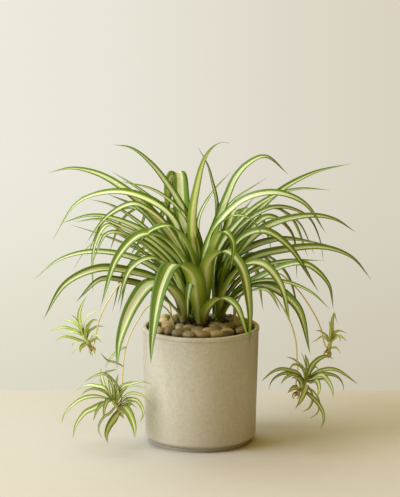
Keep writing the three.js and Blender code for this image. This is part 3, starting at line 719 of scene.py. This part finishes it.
# Stem points (x, y, z); where the stem stands; base and heart of the plantlet's stalk; length of its
# longest leaves; bracts, small leaves on the stem: width, where they start, then points (x, z).
RUNNERS = {
    "lower_left": {
        "stem": [[-37, -18, 166], [-45, -29, 180], [-56, -34, 187], [-67, -35, 182], [-78, -34, 166],
            [-88, -29, 147], [-94, -31, 130], [-98, -34, 105], [-99, -36, 83]],
        "foot": [-34, -12],
        "base": [-101, -38, 48],
        "heart": [-112, -38, 62],
        "length": 62,
        "bracts": [
            [3, [-98, -34, 105], [-107, 110], [-117, 113], [-122, 118], [-126, 124]],
            [3, [-94, -31, 130], [-106, 123], [-116, 113], [-121, 102]],
        ],
    },
    "upper_left": {
        "stem": [[-42, 27, 178], [-66, 22, 208], [-88, 17, 212], [-105, 12, 199], [-117, 11, 181],
            [-125, 10, 166], [-130, 10, 152], [-133, 10, 138], [-136, 10, 124]],
        "foot": [-37, 26],
        "base": [-140, 10, 118],
        "heart": [-150, 10, 135],
        "length": 46,
    },
    "lower_right": {
        "stem": [[47, 6, 178], [62, 8, 200], [76, 8, 204], [89, 6, 195], [103, 2, 176], [113, -2, 158],
            [118, -4, 145], [122, -6, 127], [123, -8, 110], [124, -9, 98], [122, -10, 75]],
        "foot": [44, 6],
        "base": [124, -10, 64],
        "heart": [136, -10, 82],
        "length": 62,
    },
    "upper_right": {
        "stem": [[46, 28, 182], [74, 28, 211], [98, 27, 213], [114, 25, 202], [126, 23, 190],
            [138, 22, 173], [148, 21, 156], [155, 20, 139], [159, 20, 122]],
        "foot": [43, 27],
        "base": [164, 20, 112],
        "heart": [167, 20, 126],
        "length": 36,
    },
}

# Each leaf of a plantlet: width, side it leans to in depth (1 back, -1 front), how far up the stalk it
# starts (0 base, 1 heart), then points (x, z).
PLANTLETS = {
    "lower_left": [
        [5, 1, 0.9, [-121, 75], [-126, 90], [-127, 97]],
        [4, -1, 0.9, [-115, 77], [-116, 90], [-116, 99]],
        [5, -1, 0.6, [-103, 76], [-112, 91], [-122, 99], [-134, 97], [-147, 90]],
        [4, 1, 0.8, [-111, 76], [-117, 88], [-121, 93], [-114, 94], [-105, 95]],
        [5, 1, 1, [-122, 76], [-133, 78], [-142, 78], [-151, 74], [-159, 68]],
        [4, -1, 1, [-123, 75], [-133, 80], [-142, 80], [-151, 75]],
        [5, -1, 1, [-122, 65], [-137, 67], [-150, 64], [-163, 55], [-173, 43], [-176, 31]],
        [7, 1, 1, [-125, 57], [-135, 51], [-145, 46], [-153, 37], [-159, 26], [-162, 11]],
        [4, -1, 1, [-126, 58], [-131, 53], [-135, 42]],
        [5, -1, 1, [-118, 64], [-121, 58], [-122, 45]],
        [3, -1, 0.5, [-115, 46], [-122, 43], [-128, 34], [-128, 26], [-123, 18]],
        [8, -1, 0.1, [-110, 39], [-116, 31], [-119, 22], [-117, 13]],
        [9, -1, 0.2, [-99, 56], [-92, 51], [-86, 40], [-83, 29], [-83, 20]],
        [4, -1, 0.5, [-98, 66], [-89, 73], [-79, 74], [-69, 70], [-62, 61]],
        [4, -1, 0.7, [-103, 72], [-98, 81], [-85, 86], [-72, 89], [-61, 86]],
        [3, 1, 0.7, [-105, 72], [-100, 77], [-94, 78], [-84, 79]],
        [5, -1, 0.3, [-97, 63], [-88, 66], [-80, 65], [-74, 58], [-72, 51], [-76, 40]],
        [3, 1, 0.3, [-93, 56], [-87, 54], [-81, 50]],
        [4, 1, 0.2, [-95, 50], [-89, 51], [-81, 42]],
        [3, -1, 0.6, [-97, 75], [-90, 83], [-80, 85], [-69, 83]],
        [4, 1, 0.8, [-109, 72], [-107, 81], [-105, 88]],
        [5, -1, 0.6, [-107, 61], [-103, 72], [-97, 83], [-92, 87]],
        [3, 1, 1, [-120, 72], [-125, 79], [-131, 80]],
    ],
    "upper_left": [
        [5, 1, 1, [-154, 149], [-155, 162], [-151, 175], [-145, 186]],
        [4, -1, 1, [-154, 149], [-158, 159], [-164, 166]],
        [4, 1, 0.8, [-154, 144], [-162, 150], [-170, 152], [-180, 152]],
        [4, -1, 0.8, [-155, 139], [-164, 143], [-174, 146], [-184, 144], [-195, 141]],
        [3, 1, 0.9, [-159, 137], [-169, 136], [-176, 131]],
        [4, -1, 0.5, [-154, 129], [-164, 133], [-173, 135], [-180, 133], [-185, 129]],
        [3, 1, 0.4, [-149, 120], [-157, 117], [-163, 111], [-166, 104]],
        [5, -1, 0.4, [-150, 124], [-153, 122], [-153, 118]],
        [3, 1, 0.6, [-156, 126], [-162, 123], [-166, 114]],
        [4, -1, 0.7, [-146, 142], [-145, 156]],
        [4, 1, 0.7, [-146, 140], [-142, 148], [-137, 151], [-130, 149]],
        [3, -1, 0.8, [-149, 150], [-143, 162], [-136, 166], [-125, 170]],
        [3, 1, 0.6, [-143, 138], [-138, 141], [-132, 143], [-123, 141]],
        [3, -1, 0.4, [-139, 134], [-134, 138], [-128, 137], [-123, 135]],
        [3, 1, 0.3, [-138, 127], [-133, 128], [-130, 124], [-127, 119]],
    ],
    "lower_right": [
        [6, 1, 1, [137, 91], [137, 99], [134, 107]],
        [4, -1, 0.9, [134, 100], [131, 113], [127, 124]],
        [6, 1, 1, [141, 96], [150, 105], [159, 108], [165, 106], [171, 101]],
        [5, -1, 1, [145, 90], [154, 94], [165, 96], [175, 94], [185, 88], [201, 76]],
        [5, 1, 1, [145, 85], [154, 87], [166, 86], [176, 81], [182, 72], [184, 61]],
        [6, -1, 1, [146, 87], [154, 91], [162, 84], [167, 75], [168, 65]],
        [3, 1, 0.9, [142, 78], [150, 78], [159, 76], [166, 67]],
        [3, 1, 0.9, [132, 93], [126, 99], [119, 103], [110, 104]],
        [5, -1, 0.8, [131, 95], [126, 103], [118, 107], [111, 102]],
        [5, -1, 0.7, [129, 86], [123, 92], [113, 96], [101, 98], [90, 94], [77, 83]],
        [5, 1, 0.6, [130, 81], [125, 85], [116, 87], [106, 86], [95, 79], [90, 71], [88, 62]],
        [5, -1, 0.7, [125, 88], [116, 92], [107, 89], [101, 83]],
        [6, 1, 0.4, [129, 75], [124, 78], [117, 75]],
        [7, -1, 0.3, [125, 74], [117, 76], [110, 73]],
        [7, -1, 0.6, [135, 77], [131, 68], [127, 61], [120, 52]],
        [4, 1, 0.5, [139, 68], [143, 57], [143, 48], [139, 38], [131, 32]],
        [5, -1, 0.3, [135, 65], [142, 60], [150, 52], [156, 41], [157, 32], [153, 20]],
        [5, 1, 0.6, [140, 69], [146, 63], [151, 53], [152, 43], [149, 32], [141, 25]],
        [6, -1, 0.9, [142, 80], [147, 84], [150, 80], [150, 72], [146, 66]],
        [4, 1, 1, [141, 91], [147, 93], [154, 84]],
    ],
    "upper_right": [
        [5, 1, 1, [168, 139], [169, 153], [171, 163]],
        [4, -1, 1, [166, 140], [165, 150], [163, 155]],
        [3, 1, 0.9, [169, 149], [172, 160], [174, 152], [177, 143]],
        [4, -1, 0.8, [163, 131], [157, 137], [151, 141], [146, 142]],
        [3, 1, 0.6, [162, 127], [156, 129], [150, 124], [143, 119]],
        [4, -1, 0.8, [172, 129], [177, 134], [181, 133], [187, 129]],
        [4, 1, 1, [170, 131], [174, 135]],
        [3, 1, 1, [174, 131], [179, 127], [180, 119]],
        [3, 1, 1, [173, 135], [179, 136], [189, 131]],
        [3, -1, 0.2, [170, 118], [174, 119], [179, 113]],
    ],
}


# ---- leaves ----
# The form of a blade, as shares of its width or its length, and its thickness in mm.
CHANNEL_DEPTH = 0.26
KEEL_DROP = 0.55
FOLD_FLATTENING = 0.7
FULL_WIDTH_AT = 0.36
TAPER_POWER = 2.7
TIP_WIDTH = 0.012
FULL_TILT_AT = 0.3
SWAY_DEGREES = 6
RIPPLE = 0.035
EDGE_THICKNESS = 0.22
BODY_THICKNESS = 0.45
# The widths of a young and of an old leaf.
YOUNG_BREADTH = 10
OLD_BREADTH = 26
# Plantlets: how far their leaves and bracts lean in depth, and their leaves' form.
LEAN_SHARE = 0.6
LEAST_HIDDEN = 6
BRACT_LEAN = -6
PLANTLET_BREADTH = 1.25
PLANTLET_TILT = 45
GROWN_LENGTH = 50


def width_share(s):
    """The share of its width that a leaf has at s, from 0 at its root to 1 at its tip."""
    root = 0.5 + 0.5 * np.sin(np.minimum(s / FULL_WIDTH_AT, 1) * (math.pi / 2))
    return root * np.maximum(1 - s**TAPER_POWER, TIP_WIDTH)


def leaf_frame(path, s, tilt, wave):
    """Directions along a leaf, to its left and up from its face, at each point of its middle line."""
    along = unit(np.gradient(path, axis=0))
    out = unit(np.array([path[-1][0] - path[0][0], path[-1][1] - path[0][1], 0.0]))
    across = np.array([-out[1], out[0], 0.0])
    side = unit(across - along * (along @ across)[:, None])
    face = np.cross(along, side)
    sign = -1 if out[0] < 0 else 1
    roll = np.radians(tilt) * sign * np.minimum(s / FULL_TILT_AT, 1)
    roll = roll + np.radians(SWAY_DEGREES) * np.sin(wave + 5 * s) * s
    cos = np.cos(roll)[:, None]
    sin = np.sin(roll)[:, None]
    return along, side * cos + face * sin, face * cos - side * sin


def add_blade(heap, tint, looks, points, width, tilt, along_count=100, across_count=9):
    """Adds a closed ribbon with a channelled upper face and a pointed tip."""
    wave = ROUGH_TURN * next(looks)
    path = spline(points, along_count)
    s = np.linspace(0, 1, along_count)
    along, left, up = leaf_frame(path, s, tilt, wave)
    half = 0.5 * width * width_share(s)
    x = np.linspace(1, -1, across_count)
    rise = np.abs(x) ** 1.25 - 0.12 * x**6
    ripple = RIPPLE * np.sin(10 * s + wave)[:, None] * x[None, :] * np.abs(x)[None, :]
    lift = 2 * half[:, None] * (CHANNEL_DEPTH * rise[None, :] + ripple * np.minimum(3 * s, 1)[:, None])
    thick = (EDGE_THICKNESS + BODY_THICKNESS * (1 - x**2))[None, :]
    thick = thick * np.sqrt(np.maximum(1 - s, 0.06))[:, None]
    keel = path - up * (2 * KEEL_DROP * CHANNEL_DEPTH * half)[:, None]
    turning = np.linalg.norm(np.gradient(along, axis=0), axis=1)
    bend = turning / np.linalg.norm(np.gradient(path, axis=0), axis=1)
    lift = lift / (1 + (FOLD_FLATTENING * bend * width)[:, None] ** 2)
    base = keel[:, None, :] + left[:, None, :] * (half[:, None] * x[None, :])[:, :, None]
    top = base + up[:, None, :] * (lift + thick)[:, :, None]
    below = (base + up[:, None, :] * (lift - thick)[:, :, None])[:, ::-1, :]
    vertices = np.concatenate([top, below], axis=1).reshape(-1, 3)
    count = 2 * across_count
    u = (1 - x) / 2
    ring_u = np.concatenate([u, u[::-1]])
    uvs = np.stack([np.tile(ring_u, along_count), np.repeat(s, count)], axis=1)
    under = np.tile(np.repeat([0, 1], across_count), along_count)
    heap.add(vertices, skin(along_count, count), uvs, tint, under)


def leaf_points(shoot, depth, knots):
    """A leaf's middle line in space: its depth grows evenly along it."""
    tip = knots[-1]
    reach = math.hypot(tip[0] - shoot[0], depth - shoot[1])
    root_x = shoot[0] + LEAF_ROOT_OFFSET * (tip[0] - shoot[0]) / reach
    root_y = shoot[1] + LEAF_ROOT_OFFSET * (depth - shoot[1]) / reach
    stations = [0]
    previous = (root_x, LEAF_ROOT_Z)
    for knot in knots:
        stations.append(stations[-1] + math.hypot(knot[0] - previous[0], knot[1] - previous[1]))
        previous = knot
    points = [(root_x, root_y, LEAF_ROOT_Z)]
    for knot, run in zip(knots, stations[1:]):
        points.append((knot[0], root_y + (depth - root_y) * run / stations[-1], knot[1]))
    return points


def fan_points(shoot, angle, reach, crest, fall):
    """A middle line that rises from a shoot to a crest and falls to its tip."""
    way = (math.cos(math.radians(angle)), math.sin(math.radians(angle)))
    rise = crest - LEAF_ROOT_Z
    stations = [
        (LEAF_ROOT_OFFSET, LEAF_ROOT_Z),
        (0.17 * reach, LEAF_ROOT_Z + 0.58 * rise),
        (0.52 * reach, crest),
        (0.82 * reach, crest - 0.3 * fall),
        (reach, crest - fall),
    ]
    return [(shoot[0] + way[0] * r, shoot[1] + way[1] * r, z) for r, z in stations]


def add_neck(heap, shoot):
    profile = [(0, NECK_FOOT_Z), (NECK_RADIUS - 1.5, NECK_FOOT_Z), (NECK_RADIUS, NECK_FOOT_Z + 6)]
    profile += [(NECK_RADIUS, SOIL_Z + 1.5), (NECK_TOP_RADIUS, NECK_TOP_Z), (0, NECK_TOP_Z + 1)]
    vertices, faces = lathe_grid(profile, 20)
    vertices = vertices + np.array([shoot[0], shoot[1], 0])
    uvs = np.tile([0.5, 0.0], (len(vertices), 1))
    heap.add(vertices, faces, uvs, (0.5, -0.5, 0.5, 0.0))


# How pale the palest leaves of each shoot are, kept lower on the right, at the back and in the middle as
# painted shade, and the share of the half width that the cream stripe takes in its broad leaves.
SHOOT_SHADE_AND_STRIPES = {
    "front": (0.9, 0.22),
    "middle": (0.35, 0.44),
    "left": (1.0, 0.46),
    "right": (0.5, 0.31),
    "back_left": (0.4, 0.44),
    "back_right": (0.1, 0.38),
}


def leaf_tint(shoot_name, width, looks, age_and_sheen):
    """How pale a leaf is, its stripe's share (less in a thin leaf), a seed and its age, which sets its
    withered tip and its painted sheen.
    """
    pale, stripe = SHOOT_SHADE_AND_STRIPES[shoot_name]
    breadth = min(max((width - 8) / 10, 0), 1)
    tone = pale * next(looks)
    share = stripe * (0.75 + 0.25 * breadth) + 0.10 * (next(looks) - 0.5)
    return tone, share, next(looks), age_and_sheen


def make_shoots():
    material = leaf_material("leaf", 0.0)
    heaps = {name: Heap() for name in SHOOTS}
    for name, shoot in SHOOTS.items():
        add_neck(heaps[name], shoot)
    looks = seeded(LEAF_SEED)
    for name, rows in LEAVES.items():
        for depth, width, tilt, *knots in rows:
            # a broad leaf counts as old: a withered tip and more painted sheen
            age_and_sheen = (width - YOUNG_BREADTH) / (OLD_BREADTH - YOUNG_BREADTH)
            tint = leaf_tint(name, width, looks, min(max(age_and_sheen, 0), 1))
            points = leaf_points(SHOOTS[name], depth, knots)
            add_blade(heaps[name], tint, looks, points, width, tilt)
    draw = seeded(FAN_SEED)
    for name, start, end, count, reach, crest, fall in FANS:
        for i in range(count):
            angle = start + (end - start) * i / (count - 1) + 5 * (next(draw) - 0.5)
            size = 0.9 + 0.2 * next(draw)
            height = LEAF_ROOT_Z + (crest - LEAF_ROOT_Z) * (0.92 + 0.12 * next(draw))
            points = fan_points(SHOOTS[name], angle, reach * size, height, fall * size)
            width = 11 + 5 * next(draw)
            tint = leaf_tint(name, width, looks, 0.0)
            add_blade(heaps[name], tint, looks, points, width, 0)
    for name, heap in heaps.items():
        settle(heap.piece(f"leaves_{name}", material), "leaf", f"shoot_{name}")


# ---- runners ----
STALK_RADII = [1.8, 2.9, 2.8, 2.5, 1.2]
NUB_COUNT = 7
NUB_RADII = [1.3, 1.0, 0.4]
YOUNG_FRESHNESS = 0.8
GROWN_FRESHNESS = 0.25


def tube(points, radii, count, sides):
    """A closed round body along a curve, its radius taken evenly from a list."""
    path = spline(points, count)
    along = unit(np.gradient(path, axis=0))
    first = unit(np.cross(along, np.array([0.31, 0.95, 0.05])))
    second = np.cross(along, first)
    angles = np.linspace(0, 2 * math.pi, sides, endpoint=False)
    size = np.interp(np.linspace(0, 1, count), np.linspace(0, 1, len(radii)), radii)
    ring = np.cos(angles)[None, :, None] * first[:, None, :]
    ring = ring + np.sin(angles)[None, :, None] * second[:, None, :]
    vertices = (path[:, None, :] + ring * size[:, None, None]).reshape(-1, 3)
    around = np.tile(np.linspace(0, 1, sides), count)
    uvs = np.stack([around, np.repeat(np.linspace(0, 1, count), sides)], axis=1)
    return vertices, skin(count, sides), uvs


def hanging_points(root, depth, knots):
    """A middle line through points (x, z), its depth changing in even steps."""
    points = [tuple(root)]
    for i, knot in enumerate(knots):
        points.append((knot[0], root[1] + (depth - root[1]) * (i + 1) / len(knots), knot[1]))
    return points


def plantlet_leaf_points(spec, lean, start, knots):
    """A plantlet leaf's middle line: the less of its length shows, the more it leans in depth."""
    root = [low + (high - low) * start for low, high in zip(spec["base"], spec["heart"])]
    shown = math.hypot(knots[-1][0] - root[0], knots[-1][1] - root[2])
    hidden = math.sqrt(max(spec["length"] ** 2 - shown**2, LEAST_HIDDEN**2))
    return hanging_points(root, root[1] + lean * LEAN_SHARE * hidden, knots)


def stalk_and_roots(spec, looks):
    """The plantlet's short stalk, brown at its base, and the root nubs that grow out of it."""
    base = np.array(spec["base"], float)
    heart = np.array(spec["heart"], float)
    way = unit(heart - base)
    first = unit(np.cross(way, np.array([0.0, 1.0, 0.0])))
    second = np.cross(way, first)
    heap = Heap()
    stalk = [base - 3.5 * way, base, base + 0.5 * (heart - base), heart + 3 * way]
    heap.add(*tube(stalk, STALK_RADII, 24, 12), WHITE)
    for i in range(NUB_COUNT):
        turn = 2 * math.pi * (i + next(looks)) / NUB_COUNT
        out = math.cos(turn) * first + math.sin(turn) * second
        long = 4 + 5 * next(looks)
        start = base + 2 * out
        end = start + (1 + 2 * next(looks)) * out - long * way
        end[2] -= 1.5
        nub = [start, start + 2.2 * out - 0.5 * long * way, end]
        heap.add(*tube(nub, NUB_RADII, 9, 7), WHITE)
    return heap


def make_runners():
    stem_look = runner_material()
    young_look = leaf_material("young_plantlet", YOUNG_FRESHNESS)
    grown_look = leaf_material("grown_plantlet", GROWN_FRESHNESS)
    root_look = root_material()
    looks = seeded(PLANTLET_SEED)
    for name, spec in RUNNERS.items():
        foot = spec["foot"]
        points = [(foot[0], foot[1], STEM_FOOT_Z), (foot[0], foot[1], SOIL_Z + 3)]
        points += [*spec["stem"], spec["base"]]
        stem = Heap()
        stem.add(*tube(points, [STEM_RADIUS, STEM_RADIUS * 0.85, STEM_RADIUS * 0.8], 140, 10), WHITE)
        ways = []
        for width, lean, start, *knots in PLANTLETS[name]:
            ways.append((width, plantlet_leaf_points(spec, lean, start, knots)))
        for width, start, *knots in spec.get("bracts", []):
            ways.append((width, hanging_points(start, start[1] + BRACT_LEAN, knots)))
        tuft = Heap()
        for width, way in ways:
            tint = (0.3 + 0.7 * next(looks), 0.22 + 0.25 * next(looks), next(looks), 0.0)
            add_blade(tuft, tint, looks, way, width * PLANTLET_BREADTH, PLANTLET_TILT, 44, 7)
        leaf_look = grown_look if spec["length"] > GROWN_LENGTH else young_look
        roots = stalk_and_roots(spec, looks)
        heaps = {"stem": (stem, stem_look), "plantlet": (tuft, leaf_look), "roots": (roots, root_look)}
        for kind, (heap, look) in heaps.items():
            settle(heap.piece(f"{kind}_{name}", look), "runner", f"runner_{name}")


# ---- soil and pebbles ----
PEBBLE_COUNT = 43
PEBBLE_REACH = 67.6
PEBBLE_INNER_REACH = 17
MOST_TRIES = 4000
STONE_COLOURS = [
    (0.36, 0.25, 0.11), (0.50, 0.41, 0.22), (0.27, 0.19, 0.085), (0.19, 0.19, 0.105), (0.15, 0.155, 0.09),
    (0.09, 0.085, 0.04), (0.34, 0.31, 0.18), (0.22, 0.16, 0.07), (0.44, 0.35, 0.18), (0.23, 0.225, 0.12),
    (0.13, 0.13, 0.075), (0.20, 0.18, 0.10),
]
STONE_LIFT = 1.6
STONE_SHRINK = 0.89
MOUND_HEIGHT = 5
MOUND_REACH = 13


def mound(x, y):
    """How much higher than its edge the soil lies at a place: it heaps up round the shoots."""
    near = np.min([np.hypot(x - s[0], y - s[1]) for s in SHOOTS.values()], axis=0)
    return MOUND_HEIGHT * np.exp(-((near / MOUND_REACH) ** 2))


def ball(across_count, down_count):
    """A unit ball as vertices and faces, poles on Z."""
    profile = [(0, -1)]
    for angle in np.linspace(-90, 90, down_count + 1)[1:-1]:
        profile.append((math.cos(math.radians(angle)), math.sin(math.radians(angle))))
    profile.append((0, 1))
    return lathe_grid(profile, across_count)


def clear_of_stems(x, y, reach):
    return all(math.hypot(x - s[0], y - s[1]) >= NECK_RADIUS + reach + 1.5 for s in SHOOTS.values())


def lay_stones():
    """Places of stones that keep apart, clear of the necks and inside the pot."""
    draw = seeded(STONE_PLACE_SEED)
    placed = []
    tries = 0
    while len(placed) < PEBBLE_COUNT and tries < MOST_TRIES:
        tries += 1
        long = 9.5 + 3 * next(draw)
        short = long * (0.68 + 0.2 * next(draw))
        angle = 2 * math.pi * next(draw)
        radius = PEBBLE_INNER_REACH + (PEBBLE_REACH - short - PEBBLE_INNER_REACH) * math.sqrt(next(draw))
        x = radius * math.cos(angle)
        y = radius * math.sin(angle)
        apart = all(math.hypot(x - p[0], y - p[1]) > 0.8 * (short + p[3]) for p in placed)
        if not apart or not clear_of_stems(x, y, short):
            continue
        turn = angle + math.pi / 2 if radius + long > PEBBLE_REACH else math.pi * next(draw)
        height = 5.2 + 1.2 * next(draw)
        z = PEBBLE_TOP_Z - height - 2 * next(draw)
        placed.append((x, y, long, short, height, z, turn))
    return placed


def make_pebbles():
    stones = lay_stones()
    looks = seeded(STONE_LOOK_SEED)
    form, faces = ball(22, 14)
    heap = Heap()
    for x, y, long, short, height, z, turn in stones:
        bulge = ROUGH_TURN * next(looks)
        skew = 0.12 * next(looks)
        swell = 1 + 0.05 * np.sin(3 * form[:, 0] + bulge) + 0.04 * np.cos(4 * form[:, 1] + 2 * bulge)
        body = form * swell[:, None]
        body = body * np.array([long * STONE_SHRINK, short * STONE_SHRINK, height])
        body[:, 0] *= 1 + skew * form[:, 1]
        cos = math.cos(turn)
        sin = math.sin(turn)
        spin = np.array([[cos, -sin, 0], [sin, cos, 0], [0, 0, 1]])
        body = body @ spin.T + np.array([x, y, z + STONE_LIFT])
        shade = STONE_COLOURS[int(next(looks) * len(STONE_COLOURS))]
        gain = 0.65 + 0.75 * next(looks)
        tint = (shade[0] * gain, shade[1] * gain, shade[2] * gain, 1)
        heap.add(body, faces, np.zeros((len(body), 2)), tint)
    settle(heap.piece("river_pebbles", pebble_material()), "pebble", "pebbles")


def make_soil():
    low = POT_BODY_LOW_RADIUS - POT_WALL - GAP
    top = POT_TOP_RADIUS - POT_WALL - GAP
    profile = [(0, POT_FLOOR + GAP), (low - 5, POT_FLOOR + GAP), (low, POT_FLOOR + 8)]
    profile += [(top - 0.3, SOIL_Z - 2), (top - 1.6, SOIL_Z)]
    for radius in np.linspace(top - 3, 2, 30):
        profile.append((radius, SOIL_Z))
    profile.append((0, SOIL_Z))
    vertices, faces = lathe_grid(profile, 96)
    surface = vertices[:, 2] > SOIL_Z - 0.1
    x = vertices[:, 0]
    y = vertices[:, 1]
    lumps = np.sin(0.31 * x + 1.3) * np.cos(0.27 * y)
    lumps = lumps + 0.6 * np.sin(0.83 * x - 0.4 * y) * np.cos(0.71 * y + 0.9)
    vertices[surface, 2] += 0.45 * lumps[surface] - 0.4 + mound(x, y)[surface]
    settle(make_piece("potting_soil", vertices, faces, soil_material()), "soil", "soil")


# Grains on the soil: how many, smallest and largest size, reach from their centre, seed.
GRAINS = {
    "soil_crumbs": [1800, 0.7, 2.6, 50, 3],
    "bark_bits": [110, 0.8, 1.9, 45, 17],
    "perlite_grains": [60, 0.5, 1.3, 52, 9],
}
GRAIN_CENTRE = (3, 14)


def scatter_grains(name, material):
    count, small, large, reach, seed = GRAINS[name]
    draw = seeded(seed)
    form, faces = ball(6, 4)
    heap = Heap()
    placed = 0
    while placed < count:
        angle = 2 * math.pi * next(draw)
        radius = reach * math.sqrt(next(draw))
        size = small + (large - small) * next(draw) ** 2
        x = GRAIN_CENTRE[0] + radius * math.cos(angle)
        y = GRAIN_CENTRE[1] + radius * math.sin(angle)
        flat = 0.6 + 0.3 * next(draw)
        jitter = 0.75 + 0.5 * np.array([next(draw) for _ in range(len(form))])
        placed += 1
        if math.hypot(x, y) > PEBBLE_REACH - 3:
            continue
        body = form * jitter[:, None] * np.array([size, size * 0.85, size * flat])
        body = body + np.array([x, y, SOIL_Z + 0.25 * size + mound(x, y)])
        heap.add(body, faces, np.zeros((len(body), 2)), WHITE)
    settle(heap.piece(name, material), "soil", "soil")


# ---- build ----
set_stage()
make_pot()
make_soil()
scatter_grains("soil_crumbs", soil_material())
scatter_grains("bark_bits", bark_material())
scatter_grains("perlite_grains", perlite_material())
make_pebbles()
make_shoots()
make_runners()
